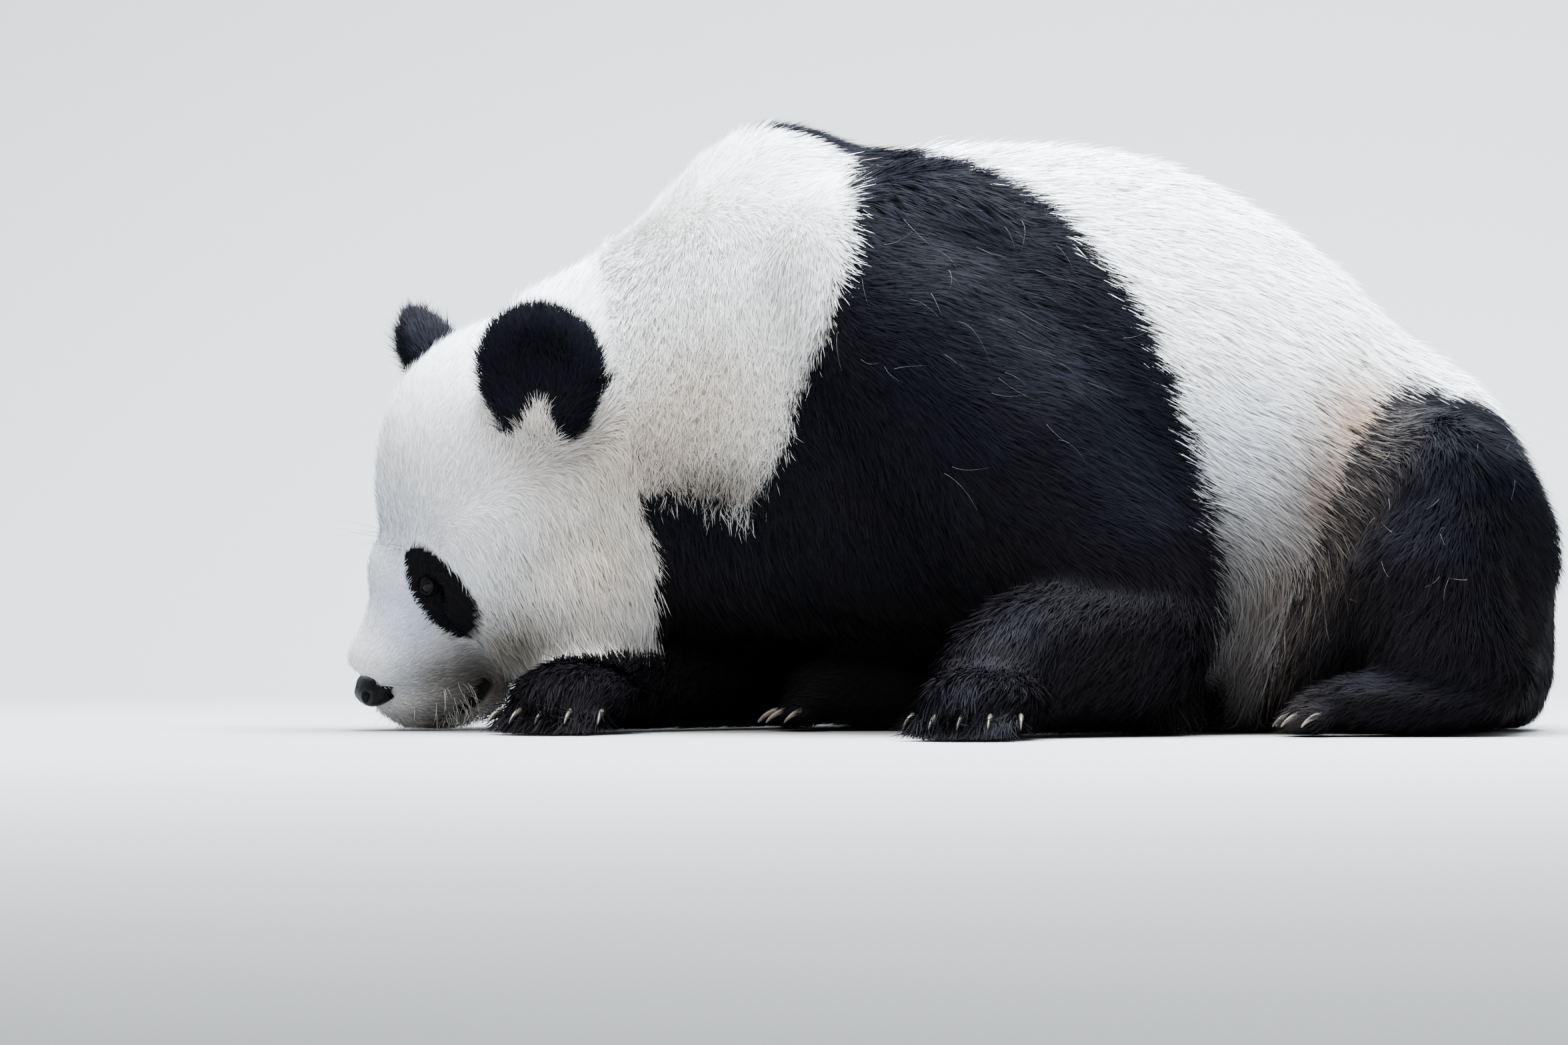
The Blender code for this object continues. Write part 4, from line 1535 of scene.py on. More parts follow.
    def push_in(self, points: np.ndarray) -> None:
        """Moves the skin inward by the depth of the coat on it."""
        names = names_of(self.fields.regions)
        depth = self.fields.lengths * self.depth_share
        depth[names == "jaw"] = self.jaw_depth
        depth[np.isin(names, EAR_NAMES)] = self.ear_depth
        depth[names == "tail"] += self.tail_depth
        depth = self.relax(depth, self.depth_steps)
        normals = self.relax(normals_of(self.thing), self.normal_steps)
        place_corners(self.thing, points - unit(normals) * depth[:, None])

    def shape_face(self) -> None:
        """Fills the lips and brow, and presses in the mouth and the beds of nose and eyes."""
        points, normals = corners_of(self.thing), normals_of(self.thing)
        inside = self.folded(points)
        for bulge in BULGES:
            near = np.sum((inside - np.array(bulge.middle)) ** 2, axis=1) / bulge.reach**2
            points = points + np.exp(-near)[:, None] * HEAD.way(rows_of(bulge.way, len(points)))
        points[:, 2] = np.maximum(points[:, 2], self.floor)
        inside = self.folded(points)
        width = self.groove_width * MOUTH.reach(inside)
        groove = self.groove_depth * bell(MOUTH.away(inside), width)
        philtrum = bell(line_distance(inside, MOUTH.philtrum), self.philtrum_width)
        groove += self.philtrum_depth * philtrum
        points = points - normals * groove[:, None]
        share = NOSE.share(inside)
        bed = self.nose_bed * bell(share - self.nose_edge, self.nose_ease)
        bed[share < self.nose_edge] = self.nose_bed
        middle = HEAD.outward(np.array([NOSE.centre]))
        points = points - (points - middle) * bed[:, None]
        for eye in EYES:
            bed = away_from(points, eye.centre()) < EYE_HOLLOW
            bed &= eye.beside(points) < eye.radius()
            ahead = np.maximum(eye.ahead(points[bed]), 0.0)
            points[bed] -= (ahead * self.eye_bed)[:, None] * eye.way()
        place_corners(self.thing, points)

    def unwrap(self) -> None:
        """Unwraps the skin; the tufts take their places on the map from it."""
        self.thing.data.uv_layers.new(name=BAKE_UV)
        with editing(self.thing):
            bpy.ops.uv.smart_project(angle_limit=UNWRAP_ANGLE, island_margin=UNWRAP_MARGIN)

    def dress(self) -> None:
        """Paints the skin, smooths it and lets it stand for the flesh nodes."""
        points = corners_of(self.thing)
        black = MARKS.black_share(points, self.fields.regions)
        flat = MARKS.side_view(points, np.isin(names_of(self.fields.regions), HEAD_NAMES))
        white = COLOURS.stained(rows_of(COLOURS.skin_white, len(points)), flat, MARKS)
        colour = np.where(black[:, None] > 0.5, np.array(COLOURS.skin_black), white)
        inside = self.folded(points)
        lips = smooth_fall(*self.lip_edge, MOUTH.away(inside) / MOUTH.reach(inside))
        paint(self.thing, blend(colour, COLOURS.lip, lips))
        shade_smooth(self.thing)
        finish_piece(self.thing, SkinFinish().material(), Slot.WHITE, *REGION_NAMES)


# The coat


@dataclass(frozen=True)
class BladeShape:
    """Which of a tuft's eight corners a blade keeps, its triangles, and its corners' places."""

    corners: tuple[int, ...]
    faces: tuple[tuple[int, int, int], ...]
    along: tuple[float, ...]
    across: tuple[float, ...]


BLADE_SHAPES = (
    BladeShape((7, 2, 3, 6), ((0, 2, 1), (1, 2, 3)), (0.0, 0.4, 0.4, 1.0), (0.0, -0.5, 0.5, 0.0)),
    BladeShape(
        (0, 1, 2, 3, 6),
        ((0, 1, 3), (0, 3, 2), (2, 3, 4)),
        (0.0, 0.0, 0.45, 0.45, 1.0),
        (-0.5, 0.5, -0.5, 0.5, 0.0),
    ),
    BladeShape(
        (0, 1, 2, 3, 4, 5, 6),
        ((0, 1, 3), (0, 3, 2), (2, 3, 5), (2, 5, 4), (4, 5, 6)),
        (0.0, 0.0, 0.36, 0.36, 0.70, 0.70, 1.0),
        (-0.5, 0.5, -0.5, 0.5, -0.5, 0.5, 0.0),
    ),
)


@dataclass
class Roots:
    """Where tufts grow: place, normal, unwrap place and the coat's fields there."""

    places: np.ndarray
    normals: np.ndarray
    patches: np.ndarray
    lengths: np.ndarray
    lifts: np.ndarray
    flows: np.ndarray
    regions: np.ndarray
    stray: np.ndarray
    black: np.ndarray

    def pick(self, chosen: np.ndarray) -> "Roots":
        """The chosen roots only."""
        return Roots(*(values[chosen] for values in vars(self).values()))


@dataclass
class Blades:
    """The shaped tufts: corners, shading normals, root and tip colours, and lengths."""

    corners: np.ndarray
    normals: np.ndarray
    colours: np.ndarray
    lengths: np.ndarray


@dataclass
class Coat:
    """Joined tufts over the skin, each a thin tapered blade that follows the lie of the hair."""

    skin: Skin
    random: np.random.Generator = field(default_factory=lambda: np.random.default_rng(SEED))
    roots: Roots | None = None
    blades: Blades | None = None
    tufts: int = 640000
    quick_tufts: int = 220000
    tufts_in_clump: int = 12
    most_triangles: int = 188000
    broad_hair: float = 0.030
    long_hair: float = 0.042
    patch_size: float = 0.003
    marked_at: float = 0.55  # the share of a tuft's length whose place decides its colour
    eye_bare: float = 0.0088
    # Guard hairs are longer than the rest and stand a little off the coat.
    guard_share: float = 0.07
    guard_longer: float = 0.22
    guard_lift: float = math.radians(11.0)
    # How clumps and single tufts differ from the lie of the coat.
    clump_stray: float = 0.50
    tuft_stray: float = 0.80
    wave: float = 0.22
    wave_size: float = 0.09
    clump_lift: float = math.radians(3.5)
    tuft_lift: float = math.radians(5.0)
    lift_range: Pair = (0.12, 1.25)
    length_spread: float = 0.16
    length_range: Pair = (0.55, 1.45)
    clump_pull: float = 0.30
    short_pull: float = 0.35  # the share of it that short hair takes
    pull_spread: Pair = (0.5, 1.2)
    farthest_pull: float = 0.30
    clump_shade: float = 0.06
    tuft_shade: float = 0.16
    lightest: float = 0.97
    # A blade: its width, how it narrows, and how steep and long each part of it is.
    width_share: float = 0.044
    width_range: Pair = (0.00058, 0.00150)
    width_spread: Pair = (0.70, 1.30)
    tapers: Triple = (1.0, 0.86, 0.55)
    parts: tuple[Pair, ...] = ((1.25, 0.36), (0.80, 0.34), (0.44, 0.30))
    roll: float = 0.75
    rooted: float = 0.0012
    sag: float = 0.10
    sag_length: float = 0.03
    floor: float = 0.0012
    floor_spread: float = 0.002
    shaded_as_skin: float = 0.62  # the rest of the shading follows the blade

    def build(self) -> list[bpy.types.Object]:
        """Grows the whole coat.

        Returns:
            The coat's pieces.
        """
        roots = self.scatter()
        self.roots = roots.pick(self.furred(roots.places))
        self.blades = self.grow()
        groups = np.array([REGIONS[name].group for name in REGION_NAMES])[self.roots.regions]
        pieces = []
        for group in sorted(set(groups.tolist())):
            for coat in CoatKind:
                on_coat = (self.roots.black > 0.5) == (coat is CoatKind.BLACK)
                chosen = np.flatnonzero((groups == group) & on_coat)
                pieces += self.pieces(f"coat_{coat.name.lower()}_{group}", coat, chosen)
        return pieces

    def scatter(self) -> Roots:
        """Spreads the roots evenly over the skin, closer where the coat is thicker.

        Returns:
            The roots.
        """
        mesh = self.skin.thing.data
        mesh.calc_loop_triangles()
        corners = read_rows(mesh.loop_triangles, "vertices", 3, np.int32)
        loops = read_rows(mesh.loop_triangles, "loops", 3, np.int32)
        unwrap = read_rows(mesh.uv_layers[BAKE_UV].data, "uv", 2)
        points, normals = corners_of(self.skin.thing), normals_of(self.skin.thing)
        fields = self.skin.fields
        sides = points[corners]
        across = np.cross(sides[:, 1] - sides[:, 0], sides[:, 2] - sides[:, 0])
        area = np.linalg.norm(across, axis=1)
        weight = area * fields.thickness[corners].mean(axis=1)
        reach = np.cumsum(weight) / weight.sum()
        total = self.tufts
        steps = (np.arange(total) + self.random.uniform(size=total)) / total
        chosen = np.minimum(np.searchsorted(reach, steps), len(corners) - 1)
        first, second = self.random.uniform(size=total), self.random.uniform(size=total)
        over = first + second > 1
        first[over], second[over] = 1 - first[over], 1 - second[over]
        shares = np.stack((1 - first - second, first, second), axis=1)

        def mix(values: np.ndarray, index: np.ndarray) -> np.ndarray:
            """Values at the roots, from the corners of their triangles."""
            picked = values[index[chosen]]
            weights = shares if picked.ndim == 2 else shares[:, :, None]
            return np.sum(picked * weights, axis=1)

        places = mix(points, corners)
        nearest = corners[chosen, np.argmax(shares, axis=1)]
        regions = fields.regions[nearest]
        lengths, flows = mix(fields.lengths, corners), unit(mix(fields.flows, corners))
        shown = places + flows * (lengths * self.marked_at)[:, None]
        black = MARKS.black_share(shown, regions, self.random.normal(size=total))
        on_face = np.isin(names_of(regions), HEAD_NAMES + EAR_NAMES)
        black[on_face] = MARKS.black_share(places[on_face], regions[on_face])
        return Roots(
            places,
            unit(mix(normals, corners)),
            mix(unwrap, loops),
            lengths,
            mix(fields.lifts, corners),
            flows,
            regions,
            mix(fields.stray, corners),
            black,
        )

    def furred(self, places: np.ndarray) -> np.ndarray:
        """Leaves out the lips, the eyes and the nose pad.

        Args:
            places: Places of the roots.
        Returns:
            True where hair grows.
        """
        inside = HEAD.inward(places)
        keep = (MOUTH.away(inside) > MOUTH.reach(inside)) & (NOSE.share(inside) > 1.0)
        for eye in EYES:
            outside = away_from(places, eye.centre()) > EYE_HOLLOW
            keep &= outside | (eye.beside(places) > self.eye_bare)
        return keep

    def clumps(self) -> tuple[np.ndarray, np.ndarray]:
        """Puts each root in the clump whose middle is nearest.

        Returns:
            The clump of each root, and the place of each clump's middle.
        """
        places = self.roots.places
        middles = places[self.random.choice(len(places), len(places) // self.tufts_in_clump, False)]
        tree = KDTree(len(middles))
        for index, middle in enumerate(middles):
            tree.insert(middle, index)
        tree.balance()
        return np.array([tree.find(place)[1] for place in places]), middles

    def grow(self) -> Blades:
        """Shapes every tuft.

        Returns:
            The shaped tufts.
        """
        roots, random, count = self.roots, self.random, len(self.roots.places)
        clump, middles = self.clumps()
        clumps = len(middles)
        loose = random.normal(size=(clumps, 3))[clump] * self.clump_stray
        loose += random.normal(size=(count, 3)) * self.tuft_stray
        across = np.cross(roots.normals, roots.flows)
        wave = soft_noise(roots.places, self.wave_size, seed=5)[:, None] * across
        ways = roots.flows + loose * roots.stray[:, None] + self.wave * wave
        flow = lay_flat(ways, roots.normals)
        guard = random.uniform(size=count) < self.guard_share
        lift = roots.lifts + self.clump_lift * random.normal(size=clumps)[clump]
        lift = lift + self.guard_lift * guard
        lift = np.clip(lift + self.tuft_lift * random.normal(size=count), *self.lift_range)
        uneven = np.clip(1 + self.length_spread * random.normal(size=count), *self.length_range)
        length = roots.lengths * uneven * (1 + self.guard_longer * guard)
        spread = 1.0
        width = np.clip(roots.lengths * self.width_share, *self.width_range)
        width = width * random.uniform(*self.width_spread, size=count) * spread
        tight = self.short_pull + (1 - self.short_pull) * smooth_step(0.018, 0.036, roots.lengths)
        tight = self.clump_pull * tight * random.uniform(*self.pull_spread, count)
        pull = (middles[clump] - roots.places) * tight[:, None]
        pull[np.linalg.norm(pull, axis=1) > self.farthest_pull * length] *= self.farthest_pull
        spine = self.spine(flow, lift, length, pull)
        roll = random.uniform(-self.roll, self.roll, size=count)[:, None]
        across = unit(np.cross(flow, roots.normals))
        across = unit(across * np.cos(roll) + roots.normals * np.sin(roll))
        half = across * (width / 2)[:, None]
        sides = [
            place + side * half * taper
            for place, taper in zip(spine, self.tapers)
            for side in (-1, 1)
        ]
        corners = np.stack((*sides, spine[3], spine[0]), axis=1)
        floor = self.floor + self.floor_spread * random.uniform(size=(count, 1))
        corners[:, :, 2] = np.maximum(corners[:, :, 2], floor)
        blade = unit(np.cross(half, flow))
        blade *= np.sign(np.sum(blade * roots.normals, axis=1, keepdims=True))
        shade = unit(roots.normals * self.shaded_as_skin + blade * (1 - self.shaded_as_skin))
        return Blades(corners, shade, self.colours(clump, clumps), length)

    def spine(
        self, flow: np.ndarray, lift: np.ndarray, length: np.ndarray, pull: np.ndarray
    ) -> list[np.ndarray]:
        """Middle line of each tuft, from the root to the tip.

        Args:
            flow: The way each tuft leans.
            lift: How steeply it rises.
            length: Its length.
            pull: How far its tip is drawn toward the middle of the clump.
        Returns:
            The places of the line's four points.
        """
        normals = self.roots.normals
        line = [self.roots.places - normals * self.rooted]
        for steepness, share in self.parts:
            angle = lift * steepness
            way = flow * np.cos(angle)[:, None] + normals * np.sin(angle)[:, None]
            way[:, 2] -= self.sag * length / self.sag_length
            line.append(line[-1] + unit(way) * (length * share)[:, None] + pull * share)
        return line

    def colours(self, clump: np.ndarray, clumps: int) -> np.ndarray:
        """Root and tip colour of each tuft.

        Args:
            clump: The clump of each root.
            clumps: How many clumps there are.
        Returns:
            Two rows of colour for each tuft.
        """
        roots, random, count = self.roots, self.random, len(self.roots.places)
        flat = MARKS.side_view(roots.places, np.isin(names_of(roots.regions), HEAD_NAMES))
        root, tip = rows_of(COLOURS.white_root, count), rows_of(COLOURS.white_tip, count)
        root = COLOURS.stained(root, flat, MARKS, COLOURS.root_depth)
        tip = COLOURS.stained(tip, flat, MARKS, COLOURS.tip_depth)
        white = np.stack((root, tip), axis=1)
        mottle = soft_noise(roots.places, COLOURS.mottle_size, seed=7)
        brown = COLOURS.low_brown * smooth_fall(*COLOURS.low_heights, flat[:, 1])
        brown = np.clip(brown + COLOURS.mottled_brown * mottle, 0.0, 1.0)
        tip = blend(rows_of(COLOURS.black_tip, count), COLOURS.brown_tip, brown)
        hip = MARKS.hip_share(flat)[:, None] * random.uniform(0.1, 1.0, size=(count, 1)) ** 2
        tip = tip + np.array(COLOURS.hip_tip) * hip
        black = np.stack((rows_of(COLOURS.black_root, count), tip), axis=1)
        shade = 1 + self.clump_shade * random.normal(size=clumps)[clump]
        shade = shade + self.tuft_shade * random.normal(size=count)
        colour = np.where(roots.black[:, None, None] > 0.5, black, white)
        return np.clip(colour * shade[:, None, None], 0.0, self.lightest)

    def shapes(self, length: np.ndarray) -> np.ndarray:
        """Picks the blade for each length: index into the blade shapes."""
        return (length > self.broad_hair).astype(int) + (length > self.long_hair)

    def pieces(self, name: str, coat: CoatKind, chosen: np.ndarray) -> list[bpy.types.Object]:
        """Joins the chosen tufts into pieces, each under the limit of triangles.

        Args:
            name: Name of the piece; where there are several, each gets a number.
            coat: White or black.
            chosen: Indices of the tufts.
        Returns:
            The pieces.
        """
        if not len(chosen):
            return []
        sizes = np.array([len(shape.faces) for shape in BLADE_SHAPES])
        triangles = int(np.sum(sizes[self.shapes(self.blades.lengths[chosen])]))
        count = math.ceil(triangles / self.most_triangles)
        names = [f"{name}_{index + 1}" for index in range(count)] if count > 1 else [name]
        order = chosen[np.argsort(self.roots.places[chosen][:, 0])]
        parts = np.array_split(order, count)
        return [self.piece(title, coat, part) for title, part in zip(names, parts)]

    def piece(self, name: str, coat: CoatKind, part: np.ndarray) -> bpy.types.Object:
        """Makes one mesh of many tufts and dresses it.

        Args:
            name: Name of the piece.
            coat: White or black.
            part: Indices of the tufts.
        Returns:
            The piece.
        """
        roots, blades = self.roots, self.blades
        base, bits, kinds = 0, [], self.shapes(blades.lengths[part])
        for kind, shape in enumerate(BLADE_SHAPES):
            tufts = part[kinds == kind]
            size = len(shape.corners)
            index = base + np.arange(len(tufts))[:, None, None] * size + np.array(shape.faces)
            along = np.array(shape.along)[None, :, None]
            tint = blades.colours[tufts]
            spot = np.stack((np.array(shape.across), np.array(shape.along)), axis=1)
            patch = roots.patches[tufts][:, None] + spot[None] * self.patch_size
            bits.append(
                (
                    blades.corners[tufts][:, shape.corners].reshape(-1, 3),
                    index.reshape(-1, 3),
                    (tint[:, :1] * (1 - along) + tint[:, 1:] * along).reshape(-1, 3),
                    np.repeat(blades.normals[tufts], size, axis=0),
                    patch.reshape(-1, 2),
                )
            )
            base += len(tufts) * size
        corners, faces, colours, normals, unwrap = map(np.concatenate, zip(*bits))
        piece = blade_mesh(name, corners, faces)
        paint(piece, colours)
        layer = piece.data.uv_layers.new(name=BAKE_UV)
        flat = np.clip(unwrap[faces.ravel()], 0.0, 1.0)
        layer.data.foreach_set("uv", flat.astype(np.float32).ravel())
        piece.data.normals_split_custom_set_from_vertices(normals.tolist())
        finish_piece(piece, hair_material(coat.value), Slot[coat.name])
        return piece


@cache
def hair_material(finish: HairFinish) -> bpy.types.Material:
    """Makes each hair finish once."""
    return finish.material()


def blade_mesh(name: str, corners: np.ndarray, faces: np.ndarray) -> bpy.types.Object:
    """Makes a large mesh of triangles quickly.

    Args:
        name: Name of the piece.
        corners: Rows of x, y and z.
        faces: Three corner indices of each triangle.
    Returns:
        The new object, linked to the scene.
    """
    mesh = bpy.data.meshes.new(name)
    mesh.vertices.add(len(corners))
    mesh.vertices.foreach_set("co", corners.astype(np.float32).ravel())
    mesh.loops.add(len(faces) * 3)
    mesh.loops.foreach_set("vertex_index", faces.astype(np.int32).ravel())
    mesh.polygons.add(len(faces))
    mesh.polygons.foreach_set("loop_start", (np.arange(len(faces)) * 3).astype(np.int32))
    mesh.polygons.foreach_set("use_smooth", np.ones(len(faces), bool))
    mesh.update(calc_edges=True)
    made = bpy.data.objects.new(name, mesh)
    bpy.context.scene.collection.objects.link(made)
    return made


# Eyes, nose and claws


@dataclass
class Eye:
    """One eyeball with a dark iris and pupil, and the lids round it."""

    place: EyePlace
    pupil: float = math.radians(17)
    iris: float = math.radians(40)
    pupil_colour: Triple = (0.003, 0.003, 0.004)
    iris_colour: Triple = (0.007, 0.004, 0.0026)
    white_colour: Triple = (0.008, 0.006, 0.0055)
    bulge: float = 0.0010
    bulge_angle: float = math.radians(34)
    lid_half_width: float = 0.0066
    lid_half_height: float = 0.0042
    lid_slant: Triple = (0.50, -0.50, -0.42)
    lid_sides: int = 44
    # Rows of the lid from its opening outward: share of the opening, height over the eyeball.
    lid_rows: tuple[Pair, ...] = (
        (0.96, 0.0003), (0.97, 0.0013), (1.05, 0.0021), (1.20, 0.0022), (1.38, 0.0013),
        (1.55, -0.0003), (1.70, -0.0026),
    )

    def build(self) -> None:
        """Makes the eyeball and its lids."""
        self.ball()
        self.lids()

    def ball(self) -> None:
        """Makes and dresses the eyeball, with a slight bulge at the front."""
        centre, way, radius = self.place.centre(), self.place.way(), self.place.radius()
        bpy.ops.object.select_all(action="DESELECT")
        bpy.ops.mesh.primitive_uv_sphere_add(
            segments=40, ring_count=24, radius=radius, location=tuple(centre)
        )
        ball = bpy.context.view_layer.objects.active
        ball.rotation_euler = Vector(way).to_track_quat("Z", "Y").to_euler()
        bpy.ops.object.transform_apply(location=True, rotation=True, scale=True)
        ball.name = "eyeball_" + self.place.name()
        points = corners_of(ball)
        out = unit(points - centre)
        turned = np.arccos(np.clip(out @ way, -1.0, 1.0))
        place_corners(ball, points + out * (self.bulge * bell(turned, self.bulge_angle))[:, None])
        iris = smooth_step(self.pupil * 1.02, self.pupil * 1.25, turned)
        white = smooth_step(self.iris * 0.96, self.iris * 1.05, turned)
        colour = blend(rows_of(self.pupil_colour, len(points)), self.iris_colour, iris)
        paint(ball, blend(colour, self.white_colour, white))
        shade_smooth(ball)
        finish_piece(ball, WetFinish(ball.name).material(), Slot.EYE, self.place.node)

    def lids(self) -> None:
        """Makes the almond rim of bare skin that closes round the eyeball."""
        centre, way, radius = self.place.centre(), self.place.way(), self.place.radius()
        ahead, apart, upward = self.lid_slant
        long = HEAD.way(np.array((ahead, apart * self.place.side, upward)))
        long = unit(long - way * (long @ way))
        wide = np.cross(way, long)
        corners, faces = [], []
        for row, (share, rise) in enumerate(self.lid_rows):
            for step in range(self.lid_sides):
                turn = 2 * math.pi * step / self.lid_sides
                half_height = self.lid_half_height * abs(math.sin(turn)) ** 0.9
                along = self.lid_half_width * share * math.cos(turn)
                over = math.copysign(half_height, math.sin(turn)) * share
                flat = long * along + wide * over
                reach = min(np.linalg.norm(flat), radius * 0.97)
                spot = unit(flat) * reach + way * math.sqrt(radius**2 - reach**2)
                corners.append(centre + unit(spot) * (radius + rise))
                if row:
                    after = (step + 1) % self.lid_sides
                    base = (row - 1) * self.lid_sides
                    above = row * self.lid_sides
                    faces.append((base + step, base + after, above + after, above + step))
        rim = mesh_object("eyelids_" + self.place.name(), np.array(corners), faces)
        work = bmesh.new()
        work.from_mesh(rim.data)
        middle = Vector(centre)
        for face in work.faces:
            face.normal_update()
            if face.normal.dot(face.calc_center_median() - middle) < 0:
                face.normal_flip()
            face.smooth = True
        work.to_mesh(rim.data)
        work.free()
        subdivide(rim, 1)
        finish_piece(rim, LID_SKIN.material(), Slot.BLACK)


@dataclass
class Nose:
    """The bare nose pad with its two comma-shaped nostrils and the groove between them."""

    nostril: tuple[Triple, ...] = (
        (0.2070, 0.0165, -0.0470), (0.1975, 0.0260, -0.0485), (0.1840, 0.0325, -0.0525),
    )
    nostril_size: float = 0.0046
    nostril_depth: float = 0.0085
    # The raised rim round each nostril.
    rim_at: float = 0.0066
    rim_width: float = 0.0024
    rim_height: float = 0.0009
    slit_width: float = 0.0011
    slit_depth: float = 0.0018
    boxed: float = 0.86  # below 1 the pad is squarer than an egg
    ease: float = 0.014

    def build(self) -> bpy.types.Object:
        """Makes and dresses the nose.

        Returns:
            The nose.
        """
        bpy.ops.object.select_all(action="DESELECT")
        bpy.ops.mesh.primitive_uv_sphere_add(segments=96, ring_count=64, radius=1.0)
        nose = bpy.context.view_layer.objects.active
        nose.name = "nose_pad"
        ball = corners_of(nose)
        ball = np.sign(ball) * np.abs(ball) ** self.boxed
        shaped = ball * np.array(NOSE.radii)
        top = smooth_step(0.0, self.ease, shaped[:, 2])
        shaped[:, 1] *= 1.0 + 0.08 * top - 0.22 * smooth_step(0.0, self.ease, -shaped[:, 2])
        shaped[:, 0] -= 0.0030 * top * np.abs(ball[:, 1])
        shaped += np.array(NOSE.centre)
        folded = shaped.copy()
        folded[:, 1] = np.abs(folded[:, 1])
        hole = line_distance(folded, self.nostril)
        sunk = self.nostril_depth * np.exp(-((hole / self.nostril_size) ** 3))
        sunk -= self.rim_height * bell(hole - self.rim_at, self.rim_width)
        shaped -= unit(shaped - np.array(NOSE.centre)) * sunk[:, None]
        slit = bell(shaped[:, 1], self.slit_width) * smooth_fall(-0.054, -0.042, shaped[:, 2])
        shaped[:, 0] -= self.slit_depth * slit
        place_corners(nose, HEAD.outward(shaped))
        with editing(nose):
            bpy.ops.mesh.normals_make_consistent(inside=False)
        shade_smooth(nose)
        finish_piece(nose, NOSE_LEATHER.material(), Slot.NOSE, "nose")
        return nose


@dataclass(frozen=True)
class HairBunch:
    """A bunch of long single hairs: whiskers, brow hairs, loose pale hairs or a fringe.

    The middle and reach are in the head's axes when on_head is set, and the same bunch then
    grows on both sides of the face; else they are from the panda's own middle. The way is in
    the row's axes. Hairs with a rise start that far off the skin and lie along it.
    """

    name: str
    count: int
    middle: Triple
    reach: Triple
    way: Triple
    spread: float
    length: Pair
    width: float
    curl: float
    colour: Triple
    rise: float = 0.0
    on_head: bool = True


HAIR_BUNCHES = (
    HairBunch(
        "whiskers_chin", 75, middle=(0.150, 0.015, -0.118), reach=(0.036, 0.030, 0.022),
        way=(-0.25, 0.0, -1.0), spread=0.42, length=(0.012, 0.028), width=0.00042,
        curl=0.35, colour=(0.78, 0.76, 0.72),
    ),
    HairBunch(
        "whiskers_lip", 90, middle=(0.152, 0.038, -0.088), reach=(0.038, 0.022, 0.024),
        way=(0.10, -0.50, -0.95), spread=0.40, length=(0.010, 0.024), width=0.00036,
        curl=0.40, colour=(0.80, 0.78, 0.75),
    ),
    HairBunch(
        "whiskers_front", 46, middle=(0.190, 0.010, -0.085), reach=(0.014, 0.020, 0.018),
        way=(-0.45, 0.0, -0.90), spread=0.38, length=(0.009, 0.018), width=0.00036,
        curl=0.35, colour=(0.82, 0.81, 0.80),
    ),
    HairBunch(
        "whiskers_brow", 9, middle=(0.108, 0.040, 0.066), reach=(0.008, 0.008, 0.008),
        way=(-0.95, 0.0, 0.10), spread=0.30, length=(0.034, 0.060), width=0.00036,
        curl=0.30, colour=(0.03, 0.028, 0.03),
    ),
    HairBunch(
        "loose_hairs_shoulder", 40, middle=(0.030, -0.20, 0.370), reach=(0.150, 0.16, 0.170),
        way=(0.90, -0.10, -0.35), spread=0.38, length=(0.016, 0.050), width=0.00018,
        curl=1.10, colour=(0.26, 0.26, 0.265), rise=0.010, on_head=False,
    ),
    HairBunch(
        "fringe_flank", 1150, middle=(0.205, -0.13, 0.030), reach=(0.055, 0.18, 0.034),
        way=(-0.05, -0.10, -1.0), spread=0.26, length=(0.022, 0.044), width=0.00150,
        curl=0.30, colour=(0.012, 0.011, 0.011), on_head=False,
    ),
    HairBunch(
        "loose_hairs_haunch", 18, middle=(0.450, -0.20, 0.200), reach=(0.110, 0.16, 0.110),
        way=(-0.30, -0.25, -0.85), spread=0.55, length=(0.010, 0.022), width=0.00018,
        curl=0.80, colour=(0.25, 0.245, 0.24), rise=0.011, on_head=False,
    ),
)


